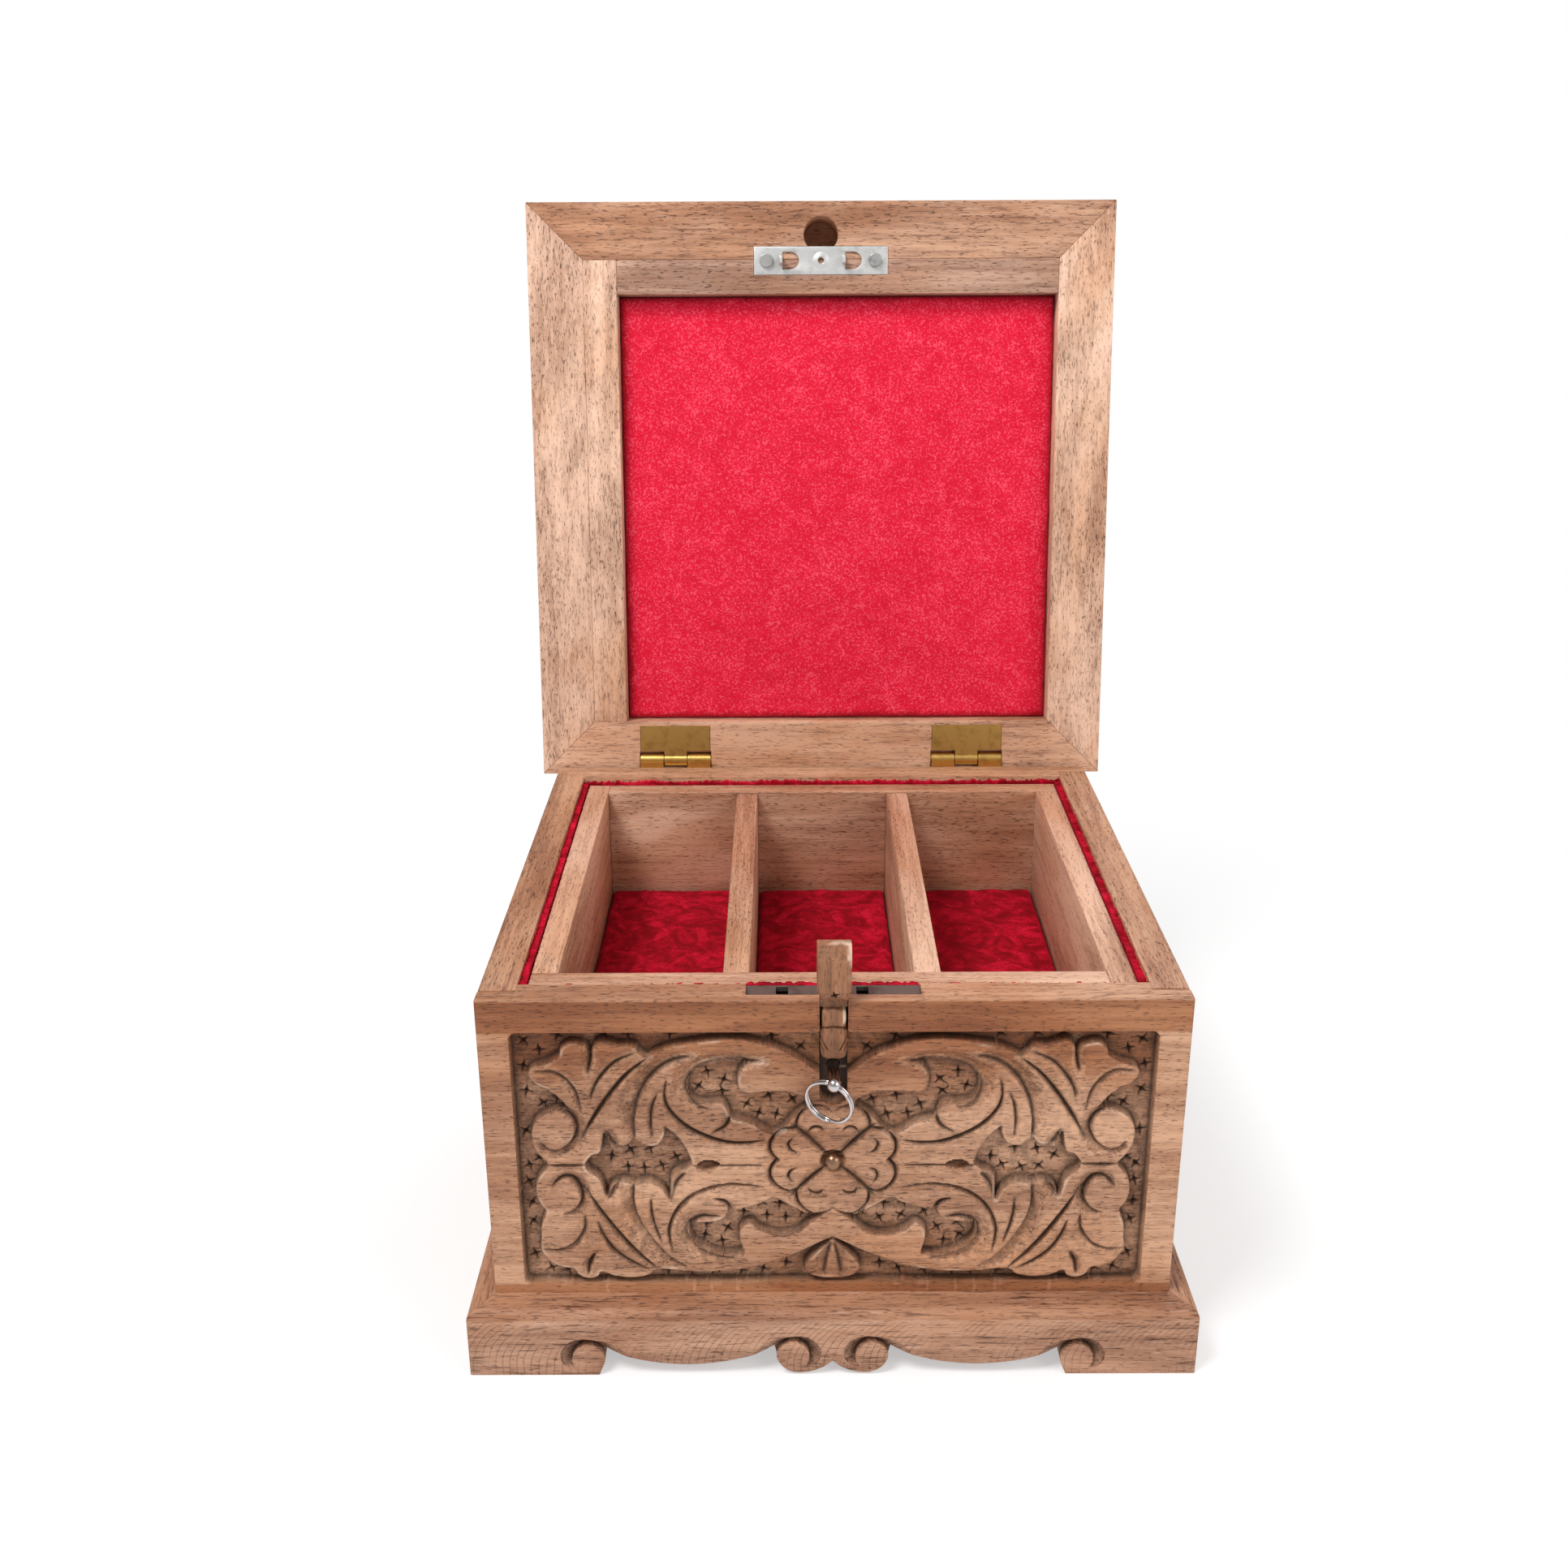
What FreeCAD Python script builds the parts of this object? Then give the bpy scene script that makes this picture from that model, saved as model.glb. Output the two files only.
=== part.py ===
# Carved jewellery chest with a hinged lid, a lift-out ring tray and a small box lock.
# Millimetres. X runs to the right, Y to the back, Z up. The chest stands on Z = 0, X = 0 is its
# middle, and Y = 0 is the middle of everything it covers with the lid open.
import FreeCAD
import Part
import math
import os
import re
import Sketcher
from FreeCAD import Placement, Rotation, Vector

doc = FreeCAD.newDocument("jewellery_chest")
sheet = doc.addObject("Spreadsheet::Sheet", "Dims")

DIMENSIONS = [
    ("overcut", 1.0, "how far a cutter runs past what it cuts"),
    # carcase
    ("body_width", 180.0, "outside width of the carcase"),
    ("body_depth", 170.0, "outside depth of the carcase"),
    ("rim_height", 108.7, "top of the walls above the floor"),
    ("body_front", -106.65, "Y of the carcase's front face"),
    ("wall", 9.5, "thickness of the four walls"),
    ("wall_bottom", 12.0, "underside of the walls"),
    ("front_lip", 6.2, "front wall left in front of the side walls"),
    ("back_lip", 4.8, "back wall left behind the side walls"),
    ("floor_board", 4.0, "thickness of the bottom board"),
    ("floor_height", 15.0, "underside of the bottom board"),
    ("groove_depth", 3.0, "groove in the walls for the bottom board"),
    ("field_side", 8.0, "plain stile beside the carved field"),
    ("field_top", 8.8, "plain rail above the carved field"),
    ("field_bottom", 23.8, "lower edge of the carved field"),
    ("field_depth", 3.8, "depth of the carved ground"),
    ("relief_drop", 0.5, "relief behind the face of the stiles"),
    ("volute_in", 12.5, "volutes of the relief from the end of their field"),
    ("volute_up", 8.4, "volutes of the relief from the rosette's height"),
    ("volute_radius", 6.4, "radius of the relief's volutes"),
    ("petal_out", 5.7, "rosette's petals from its middle, each way"),
    ("petal_radius", 7.9, "radius of the rosette's petals"),
    ("stem_height", 5.0, "width of the relief's level stems"),
    # plinth
    ("plinth_out", 7.0, "how far the plinth stands out"),
    ("plinth_top", 21.6, "top of the plinth's moulding at the wall"),
    ("plinth_face", 17.6, "top of the plinth's upright face"),
    ("plinth_shoulder", 20.4, "height where the moulding turns over"),
    ("plinth_shoulder_out", 3.8, "how far out the moulding turns over"),
    ("plinth_seat", 7.0, "width of the shelf under the walls"),
    ("foot_width", 36.3, "length of each foot from the corner"),
    ("foot_toe", 34.6, "length of each foot on the ground"),
    ("apron_end", 8.6, "height of the apron where it starts"),
    ("apron_sag", 3.4, "lowest point of the apron"),
    ("apron_lip", 1.1, "apron's start beside the foot's scroll"),
    ("apron_end_gap", 0.6, "apron's end beside the middle scroll"),
    ("foot_scroll_height", 5.1, "centre height of the foot's scroll"),
    ("scroll_radius", 4.4, "radius of the apron's scrolls"),
    ("apron_scroll_spread", 10.5, "middle scrolls from the centre line"),
    ("apron_scroll_height", 5.9, "centre height of the middle scrolls"),
    ("apron_turn", 8.0, "lowest points of the middle scrolls from the centre line"),
    ("apron_low", 0.7, "height of those lowest points"),
    ("apron_cusp", 4.4, "height of the cusp between the middle scrolls"),
    # lining of the box
    ("lining", 1.6, "thickness of the velvet on the walls"),
    ("lining_drop", 1.0, "top of the velvet below the rim"),
    ("lining_floor", 3.0, "thickness of the velvet on the floor"),
    ("lining_lock_gap", 0.5, "gap between the velvet and the lock"),
    # tray
    ("tray_gap", 0.5, "clearance between tray and velvet"),
    ("tray_height", 38.0, "height of the tray's boards"),
    ("tray_board", 7.0, "thickness of the tray's boards"),
    ("partition", 7.0, "thickness of the tray's partitions"),
    ("partition_drop", 0.6, "partitions below the tray's top edge"),
    ("partition_dado", 2.0, "partitions let into the long boards"),
    ("tray_plywood", 2.2, "thickness of the tray's bottom"),
    ("tray_pad", 3.0, "thickness of the tray's velvet pads"),
    ("tray_pad_gap", 0.3, "gap around the tray's velvet pads"),
    ("tray_below_rim", 2.0, "top of the seated tray below the rim"),
    ("runner_width", 6.0, "width of the ledges that carry the tray"),
    ("runner_height", 6.0, "height of the ledges that carry the tray"),
    # lid
    ("lid_thick", 20.0, "thickness of the lid"),
    ("lid_gap", 0.3, "gap between the closed lid and the rim"),
    ("lid_side_overhang", 5.5, "lid beyond each side of the carcase"),
    ("lid_front_overhang", 10.5, "closed lid in front of the carcase"),
    ("lid_rear_overhang", 7.5, "closed lid behind the carcase"),
    ("lid_open_angle", 99.2, "angle of the open lid in degrees"),
    ("lid_rail", 18.0, "width of the lid's mitred rails"),
    ("lid_round", 6.0, "rounding of the lid's top edge"),
    ("lid_strip", 11.0, "width of the two inner strips"),
    ("lid_strip_thick", 12.0, "thickness of the two inner strips"),
    ("lid_panel_rebate", 5.0, "lid panel let into the rails"),
    ("lid_pad_recess", 6.0, "velvet panel below the lid's inner face"),
    ("lid_field_margin", 14.0, "plain border of the lid's carved panel"),
    # hinges
    ("hinge_back", 3.0, "hinge pin behind the carcase"),
    ("hinge_up", 2.0, "hinge pin above the rim"),
    ("hinge_spread", 50.0, "hinges from the centre line"),
    ("hinge_length", 24.0, "length of each hinge"),
    ("knuckle_radius", 2.2, "outside radius of the knuckles"),
    ("hinge_pin_radius", 1.0, "radius of the hinge pins"),
    ("hinge_pin_out", 0.3, "ends of the hinge pins beyond the knuckles"),
    ("pin_clearance", 0.05, "radial clearance of turning pins"),
    ("knuckle_gap", 0.15, "end gap between knuckles"),
    ("leaf_thick", 1.0, "thickness of the hinge leaves"),
    ("body_leaf_height", 13.0, "body leaf below the pin"),
    ("lid_leaf_length", 12.0, "lid leaf in front of the pin"),
    ("leaf_gap", 0.3, "gap around the hinges' leaves and knuckles in the wood"),
    ("leaf_edge", 4.0, "hinge screws from the leaves' far edges"),
    ("screw_head_radius", 1.8, "radius of the hinge screws' heads"),
    ("screw_head", 0.6, "thickness of the hinge screws' heads"),
    ("screw_radius", 0.9, "radius of the hinge screws"),
    ("screw_length", 6.0, "length of the hinge screws"),
    # keyhole cover
    ("slot_width", 7.2, "width of the slot for the keyhole cover"),
    ("slot_depth", 5.0, "depth of the slot for the keyhole cover"),
    ("slot_reach", 30.0, "lower end of the slot below the rim"),
    ("slide_clearance", 0.15, "clearance of the cover in its slot"),
    ("cover_drop", 16.9, "lower end of the raised cover below the rim"),
    ("cover_rise", 15.5, "upper end of the raised cover above the rim"),
    ("cover_thick", 3.4, "thickness of the cover's tongue"),
    ("cover_head_width", 8.6, "width of the cover's head"),
    ("cover_head_out", 2.8, "cover's head in front of the wall"),
    ("cover_head_in", 2.8, "cover's head behind the wall's face"),
    ("cover_head_root", 3.0, "cover's head joined to the tongue below the rim"),
    ("cover_head_gap", 0.7, "lower end of the cover's head above the rim"),
    ("cover_neck", 3.0, "height over which that head widens"),
    ("cover_bud_out", 0.2, "cover's bud in front of the wall"),
    ("cover_bud_drop", 2.5, "upper end of the cover's bud below the rim"),
    ("cover_chamfer", 1.2, "chamfer of the cover's head"),
    ("cover_hole_radius", 5.6, "blind hole in the lid for the cover"),
    ("cover_hole_depth", 16.6, "depth of that blind hole"),
    ("cover_hole_shift", -0.1, "centre of that hole behind the wall's face"),
    # lock
    ("lock_plate_end", 1.7, "ends of the lock's top plate beyond the case"),
    ("lock_plate_front", 5.2, "front of the lock's top plate"),
    ("lock_plate_depth", 5.6, "width of the lock's top plate"),
    ("lock_plate_drop", 1.3, "top of that plate below the rim"),
    ("lock_plate_thick", 1.2, "thickness of the lock's top plate"),
    ("lock_case_front", 5.7, "front of the lock's case"),
    ("lock_case_depth", 6.6, "depth of the lock's case"),
    ("lock_case_height", 27.0, "height of the lock's case"),
    ("lock_sheet", 0.8, "sheet thickness of the lock's case"),
    ("loop_left", -13.0, "left loop from the lock's middle"),
    ("loop_right", 7.4, "right loop from the lock's middle"),
    ("loop_slot_width", 3.1, "width of the loops' slots"),
    ("loop_slot_depth", 4.0, "depth of the loops' slots"),
    ("loop_reach", 5.5, "how far a loop stands out of the strike plate"),
    ("loop_thick", 1.0, "thickness of a loop"),
    ("loop_depth", 2.8, "width of a loop"),
    ("loop_hole", 2.2, "hole in a loop"),
    ("loop_axis", 3.4, "height of a loop's hole below the rim"),
    ("strike_length", 43.6, "length of the strike plate"),
    ("strike_width", 8.9, "width of the strike plate"),
    ("strike_thick", 0.8, "thickness of the strike plate"),
    ("strike_window", 5.2, "length of the windows beside the loops"),
    ("strike_nail_spread", 17.7, "strike plate's nails from its middle"),
    ("strike_nail_radius", 2.3, "radius of the strike plate's nail heads"),
    ("strike_nail_dome", 1.2, "height of those nail heads"),
    ("strike_hole_radius", 1.0, "hole in the middle of the strike plate"),
    ("bolt_travel", 3.5, "travel of the lock's bolt"),
    ("bolt_thick", 1.2, "thickness of the lock's bolt"),
    ("bolt_finger", 1.5, "height of the bolt's fingers"),
    ("bolt_bar", 4.0, "height of the bolt's bar"),
    ("bolt_reach", 0.6, "drawn bolt's fingers from the loops"),
    ("bolt_arm", 1.4, "width of the arms that carry those fingers"),
    ("bolt_gap", 0.2, "gap between the bolt and the loops and cam"),
    ("bolt_fork_width", 6.0, "width of the bolt's fork"),
    ("bolt_side_room", 1.1, "room between the drawn bolt and the case's side"),
    ("key_drop", 20.9, "key's axis below the rim"),
    ("key_radius", 1.6, "radius of the key's shank"),
    ("key_clearance", 0.1, "clearance around the key"),
    ("bit_length", 3.4, "key's bit below its axis"),
    ("bit_width", 1.2, "width of the key's bit"),
    ("cam_radius", 5.4, "radius of the cam that the key turns"),
    ("cam_thick", 2.0, "thickness of that cam"),
    ("cam_floor", 0.4, "metal left behind the key in that cam"),
    ("cam_boss_radius", 1.0, "radius of the pivot behind that cam"),
    ("cam_gap", 0.1, "gap between that cam and its neighbours"),
    ("cam_pin_orbit", 2.475, "cam's driving pin from the key's axis"),
    ("cam_pin_radius", 0.7, "radius of the cam's driving pin"),
    ("cam_pin_slack", 0.15, "slack of that pin in the bolt's fork"),
    ("key_eye_out", 5.2, "key's eye in front of the wall"),
    ("key_eye_radius", 1.9, "radius of the key's ball end"),
    ("key_eye_bore", 1.1, "radius of the hole in the key's ball end"),
    ("ring_radius", 6.2, "middle radius of the key ring"),
    ("ring_wire", 0.75, "radius of the key ring's wire"),
    ("ring_yaw_angle", 22.0, "key ring turned about the upright, in degrees"),
    ("ring_dip_angle", 16.0, "key ring's wire dipping to the right, in degrees"),
    ("ring_lean_angle", 10.0, "key ring leaning back, in degrees"),
    # centre ornament
    ("nail_radius", 2.3, "radius of the rosette's nail head"),
    ("nail_dome", 1.8, "height of that nail head"),
    ("nail_shank", 0.8, "radius of that nail's shank"),
    ("nail_length", 7.5, "length of that nail's shank"),
    # sizes that follow from the others
    ("lid_width", "=body_width + 2 * lid_side_overhang", "outside width of the lid"),
    ("lid_depth", "=body_depth + lid_rear_overhang + lid_front_overhang", "outside depth of the lid"),
    ("slot_end", "=rim_height - slot_reach", "lower end of the slot"),
    ("cover_bottom", "=rim_height - cover_drop", "lower end of the raised cover"),
    ("cover_top", "=rim_height + cover_rise", "upper end of the raised cover"),
    ("cover_head_bottom", "=rim_height + cover_head_gap", "lower end of the cover's head"),
    ("cover_bud_top", "=rim_height - cover_bud_drop", "upper end of the cover's bud"),
    ("key_height", "=rim_height - key_drop", "height of the key's axis"),
    ("bolt_left", "=loop_left - loop_thick / 2 - bolt_travel - bolt_gap - bolt_arm", "drawn bolt's left end"),
    ("lock_case_width", "=2 * (lock_sheet + bolt_side_room - bolt_left)", "width of the lock's case"),
    ("lock_width", "=lock_case_width + 2 * lock_plate_end", "length of the lock's top plate"),
    ("rosette_height", "=(field_bottom + rim_height - field_top) / 2", "centre of the front's rosette"),
]

for row, (alias, value, note) in enumerate(DIMENSIONS, start=1):
    sheet.set(f"A{row}", note)
    sheet.set(f"B{row}", str(value))
    sheet.setAlias(f"B{row}", alias)
doc.recompute()

ALIASES = {alias for alias, _, _ in DIMENSIONS}
NODES = {}


def bound(expression):
    """Write a size expression so that each name in it reads its cell of the sheet."""
    return re.sub(r"[a-z_]+", lambda m: "Dims." + m[0] if m[0] in ALIASES else m[0], str(expression))


def size(expression):
    """The number that a size expression gives now."""
    value = sheet.evalExpression(bound(expression))
    return float(getattr(value, "Value", value))


def bind(thing, **properties):
    """Bind properties such as Length or Placement_Base_x to size expressions."""
    for name, expression in properties.items():
        thing.setExpression(name.replace("_", "."), bound(expression))
    return thing


def place(thing, x=0, y=0, z=0):
    return bind(thing, Placement_Base_x=x, Placement_Base_y=y, Placement_Base_z=z)


def block(name, low, high):
    """A box between two corners, each a triple of size expressions."""
    box = doc.addObject("Part::Box", name)
    spans = [f"({b}) - ({a})" for a, b in zip(low, high)]
    bind(box, Length=spans[0], Width=spans[1], Height=spans[2])
    return place(box, *low)


def rod(name, start, radius, length, axis="Z"):
    """A cylinder from a start point along an axis."""
    rod_object = doc.addObject("Part::Cylinder", name)
    turns = {"X": Rotation(Vector(0, 1, 0), 90), "Y": Rotation(Vector(1, 0, 0), -90), "Z": Rotation()}
    rod_object.Placement = Placement(Vector(), turns[axis])
    bind(rod_object, Radius=radius, Height=length)
    return place(rod_object, *start)


def ball(name, centre, radius):
    ball_object = doc.addObject("Part::Sphere", name)
    bind(ball_object, Radius=radius)
    return place(ball_object, *centre)


def fuse(name, *shapes):
    joined = doc.addObject("Part::MultiFuse", name)
    joined.Shapes = list(shapes)
    return joined


def cut(name, base, *tools):
    result = doc.addObject("Part::Cut", name)
    result.Base = base
    result.Tool = tools[0] if len(tools) == 1 else fuse(name + "_tools", *tools)
    return result


def group(name, *shapes):
    together = doc.addObject("Part::Compound", name)
    together.Links = list(shapes)
    return together


def node(label, thing):
    """Name a finished sub-part: its file takes this name."""
    thing.Label = label
    NODES[label] = thing
    return thing


def swing_open(thing):
    """Place a sub-part of the lid, drawn closed about the hinge pin, at the open angle."""
    thing.Placement = Placement(Vector(), Rotation(Vector(-1, 0, 0), 90))
    bind(thing, Placement_Rotation_Angle="lid_open_angle")
    return place(thing, 0, HINGE_Y, HINGE_Z)


def outline(sketch, corners):
    """A closed outline of straight lines through corners given as pairs of size expressions."""
    points = [Vector(size(x), size(y), 0) for x, y in corners]
    count = len(points)
    for i in range(count):
        sketch.addGeometry(Part.LineSegment(points[i], points[(i + 1) % count]), False)
    first = sketch.GeometryCount - count
    for i in range(count):
        after = first + (i + 1) % count
        sketch.addConstraint(Sketcher.Constraint("Coincident", first + i, 2, after, 1))
    for i, (x, y) in enumerate(corners):
        for kind, expression, value in (("DistanceX", x, points[i].x), ("DistanceY", y, points[i].y)):
            constraint = sketch.addConstraint(Sketcher.Constraint(kind, -1, 1, first + i, 1, value))
            sketch.setExpression(f"Constraints[{constraint}]", bound(expression))


def sketch_on(body, plane, name):
    sketch = body.newObject("Sketcher::SketchObject", name)
    origin_plane = [f for f in body.Origin.OriginFeatures if f.Role == plane][0]
    sketch.AttachmentSupport = [(origin_plane, "")]
    sketch.MapMode = "FlatFace"
    return sketch


def padded(name, plane, corners, length):
    """A body whose outline is padded to both sides of its plane."""
    body = doc.addObject("PartDesign::Body", name)
    sketch = sketch_on(body, plane, name + "_outline")
    outline(sketch, corners)
    pad = body.newObject("PartDesign::Pad", name + "_pad")
    pad.Profile = sketch
    pad.Midplane = True
    bind(pad, Length=length)
    return body


# Places that several sub-parts share.
BACK = "body_front + body_depth"
HALF = "body_width / 2"
INNER_X = "(body_width / 2 - wall)"
INNER_FRONT = "(body_front + wall)"
INNER_BACK = "(body_front + body_depth - wall)"
MIDDLE_Y = "(body_front + body_depth / 2)"
FLOOR_TOP = "(floor_height + floor_board)"
HINGE_Y = "(body_front + body_depth + hinge_back)"
HINGE_Z = "(rim_height + hinge_up)"
TRAY_TOP = "(rim_height - tray_below_rim)"
TRAY_BOTTOM = "(rim_height - tray_below_rim - tray_height)"
# The lid is drawn closed, with its hinge pin on the X axis.
LID_FACE = "(lid_gap - hinge_up)"
LID_TOP = "(lid_gap - hinge_up + lid_thick)"
LID_REAR = "(lid_rear_overhang - hinge_back)"
LID_FRONT = "(lid_rear_overhang - hinge_back - lid_depth)"
FIELD_HALF_HEIGHT = "(rim_height - field_top - rosette_height)"
BODY_SCREW_Z = "(rim_height + hinge_up - body_leaf_height + leaf_edge)"
LOCK_Y = "(body_front + lock_plate_front + lock_plate_depth / 2)"
LOCK_IN_LID = "(lock_plate_front + lock_plate_depth / 2 - body_depth - hinge_back)"
COVER_IN_LID = "(cover_hole_shift - body_depth - hinge_back)"


def make_walls():
    groove = block("bottom_groove",
                   (f"-{INNER_X} - groove_depth", "body_front + wall - groove_depth", "floor_height"),
                   (f"{INNER_X} + groove_depth", f"{BACK} - wall + groove_depth", FLOOR_TOP))
    node("bottom_board", group("bottom_board_shape", groove))

    lip = block("front_lip_block", (f"-{HALF}", "body_front", "wall_bottom"),
                (HALF, "body_front + front_lip", "rim_height"))
    tongue = block("front_tongue_block", (f"-{INNER_X}", "body_front + front_lip", "wall_bottom"),
                   (INNER_X, "body_front + wall", "rim_height"))
    blank = fuse("front_blank", lip, tongue)
    field = block("front_field", (f"-{HALF} + field_side", "body_front - overcut", "field_bottom"),
                  (f"{HALF} - field_side", "body_front + field_depth", "rim_height - field_top"))
    slot = block("cover_slot", ("-slot_width / 2", "body_front - overcut", "slot_end + slot_width / 2"),
                 ("slot_width / 2", "body_front + slot_depth", "rim_height + overcut"))
    slot_foot = rod("cover_slot_foot", (0, "body_front - overcut", "slot_end + slot_width / 2"),
                    "slot_width / 2", "slot_depth + overcut", "Y")
    seat = block("lock_plate_seat",
                 ("-lock_width / 2", "body_front + lock_plate_front",
                  "rim_height - lock_plate_drop - lock_plate_thick"),
                 ("lock_width / 2", "body_front + wall + overcut", "rim_height + overcut"))
    mortise = block("lock_mortise",
                    ("-lock_case_width / 2", "body_front + lock_case_front",
                     "rim_height - lock_plate_drop - lock_plate_thick - lock_case_height"),
                    ("lock_case_width / 2", "body_front + wall + overcut", "rim_height"))
    keyhole = rod("keyhole_round", (0, "body_front", "key_height"), "key_radius + key_clearance",
                  "wall", "Y")
    keyway = block("keyhole_slot",
                   ("-bit_width / 2 - key_clearance", "body_front",
                    "key_height - bit_length - key_clearance"),
                   ("bit_width / 2 + key_clearance", "body_front + wall", "key_height"))
    nail_hole = rod("nail_hole", (0, "body_front", "rosette_height"), "nail_shank",
                    "nail_length + relief_drop", "Y")
    carcase_front = cut("front_carcase", blank, field)
    relief = make_relief("front", f"({HALF} - field_side)", FIELD_HALF_HEIGHT)
    place(relief, 0, "body_front", "rosette_height")
    carved = fuse("front_carved", carcase_front, relief)
    node("front_wall", cut("front_wall_shape", carved, slot, slot_foot, seat, mortise, keyhole,
                           keyway, nail_hole, groove))

    back_lip = block("back_lip_block", (f"-{HALF}", f"{BACK} - back_lip", "wall_bottom"),
                     (HALF, BACK, "rim_height"))
    back_tongue = block("back_tongue_block", (f"-{INNER_X}", INNER_BACK, "wall_bottom"),
                        (INNER_X, f"{BACK} - back_lip", "rim_height"))
    screw_holes = [rod(f"back_screw_hole_{side}_{number}",
                       (f"{sign} * hinge_spread + ({number} / 4 - 0.5) * hinge_length",
                        f"{BACK} + leaf_thick - screw_length", BODY_SCREW_Z),
                       "screw_radius", "screw_length", "Y")
                   for side, sign in (("left", -1), ("right", 1)) for number in (1, 3)]
    back_blank = fuse("back_blank", back_lip, back_tongue)
    node("back_wall", cut("back_wall_shape", back_blank, groove, *screw_holes))

    for side, turn, face_x, low_x, high_x, field_low, field_high in (
            ("left", -90, f"-{HALF}", f"-{HALF}", f"-{INNER_X}", f"-{HALF} - overcut",
             f"-{HALF} + field_depth"),
            ("right", 90, HALF, INNER_X, HALF, f"{HALF} - field_depth", f"{HALF} + overcut")):
        board = block(side + "_board", (low_x, "body_front + front_lip", "wall_bottom"),
                      (high_x, f"{BACK} - back_lip", "rim_height"))
        side_field = block(side + "_field", (field_low, "body_front + wall + field_side", "field_bottom"),
                           (field_high, f"{BACK} - wall - field_side", "rim_height - field_top"))
        relief = make_relief(side, "(body_depth / 2 - wall - field_side)", FIELD_HALF_HEIGHT)
        relief.Placement = Placement(Vector(), Rotation(Vector(0, 0, 1), turn))
        place(relief, face_x, MIDDLE_Y, "rosette_height")
        carved = fuse(side + "_carved", cut(side + "_sunk", board, side_field), relief)
        node(side + "_wall", cut(side + "_wall_shape", carved, groove))


def ribbon(name, route, low_y, high_y):
    """A flat strip of relief along a smooth route of (x, z, width) stations."""
    middle = [Vector(x, low_y, z) for x, z, _ in route]
    spine = Part.BSplineCurve()
    spine.interpolate(middle)
    sides = ([], [])
    for station, (_, _, width) in zip(middle, route):
        along = spine.tangent(spine.parameter(station))[0]
        across = Vector(-along.z, 0, along.x)
        for line, sign in zip(sides, (1, -1)):
            line.append(station + across * (sign * width / 2))
    edges = []
    for line in sides:
        curve = Part.BSplineCurve()
        curve.interpolate(line)
        edges.append(curve.toShape())
    edges.append(Part.makeLine(sides[0][0], sides[1][0]))
    edges.append(Part.makeLine(sides[0][-1], sides[1][-1]))
    face = Part.Face(Part.Wire(Part.__sortEdges__(edges)))
    strip = doc.addObject("Part::Feature", name)
    strip.Shape = face.extrude(Vector(0, high_y - low_y, 0))
    return strip


# Routes of the carving in one quarter, as shares of the half field from the rosette outwards
# and upwards, with the strip's width as a share of the field's half width.
RELIEF_ROUTES = {
    "arch": [(0.08, 0.52, 0.074), (0.20, 0.76, 0.093), (0.37, 0.86, 0.102), (0.54, 0.78, 0.111),
             (0.66, 0.52, 0.102), (0.74, 0.26, 0.084), (0.84, 0.05, 0.056)],
    "hook": [(0.60, 0.66, 0.074), (0.50, 0.50, 0.093), (0.47, 0.30, 0.102), (0.36, 0.19, 0.102),
             (0.31, 0.34, 0.056)],
    "leaf": [(0.64, 0.46, 0.046), (0.72, 0.60, 0.121), (0.84, 0.78, 0.139), (0.90, 0.86, 0.056)],
    "curl": [(0.12, 0.42, 0.074), (0.20, 0.56, 0.102), (0.28, 0.60, 0.046)],
}


def make_relief(board, half_width, half_height):
    """The strong forms of one carving, with the rosette at the origin and the board's face at Y = 0."""
    low_y = size("field_depth")
    high_y = size("relief_drop")
    wide = size(half_width)
    high = size(half_height)
    volute_x = f"({half_width} - volute_in)"
    shapes = []
    for right in (-1, 1):
        for up in (-1, 1):
            side = f"{'left' if right < 0 else 'right'}_{'lower' if up < 0 else 'upper'}"
            for title, stations in RELIEF_ROUTES.items():
                route = [(right * x * wide, up * z * high, width * wide) for x, z, width in stations]
                shapes.append(ribbon(f"{board}_{title}_{side}", route, low_y, high_y))
            shapes.append(rod(f"{board}_volute_{side}",
                              (f"{right} * {volute_x}", "relief_drop", f"{up} * volute_up"),
                              "volute_radius", "field_depth - relief_drop", "Y"))
            shapes.append(rod(f"{board}_petal_{side}",
                              (f"{right} * petal_out", "relief_drop", f"{up} * petal_out"),
                              "petal_radius", "field_depth - relief_drop", "Y"))
    shapes.append(block(f"{board}_stem",
                        (f"volute_radius - {volute_x}", "relief_drop", "-stem_height / 2"),
                        (f"{volute_x} - volute_radius", "field_depth", "stem_height / 2")))
    return fuse(board + "_relief", *shapes)


def plinth_section():
    """The plinth's section, outwards along +X from the wall's face, as a face at Y = 0."""
    out = size("plinth_out")
    top = size("plinth_top")
    upright = size("plinth_face")
    shoulder = Vector(size("plinth_shoulder_out"), 0, size("plinth_shoulder"))
    nose = Vector(out, 0, upright)
    bend = math.radians(45)
    middle = Vector(shoulder.x + (nose.x - shoulder.x) * math.sin(bend), 0,
                    nose.z + (shoulder.z - nose.z) * math.sin(bend))
    seat = Vector(-size("plinth_seat"), 0, size("wall_bottom"))
    edges = [
        Part.makeLine(Vector(0, 0, top), shoulder),
        Part.Arc(shoulder, middle, nose).toShape(),
        Part.makeLine(nose, Vector(out, 0, 0)),
        Part.makeLine(Vector(out, 0, 0), Vector(seat.x, 0, 0)),
        Part.makeLine(Vector(seat.x, 0, 0), seat),
        Part.makeLine(seat, Vector(0, 0, seat.z)),
        Part.makeLine(Vector(0, 0, seat.z), Vector(0, 0, top)),
    ]
    return Part.Face(Part.Wire(edges))


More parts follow.
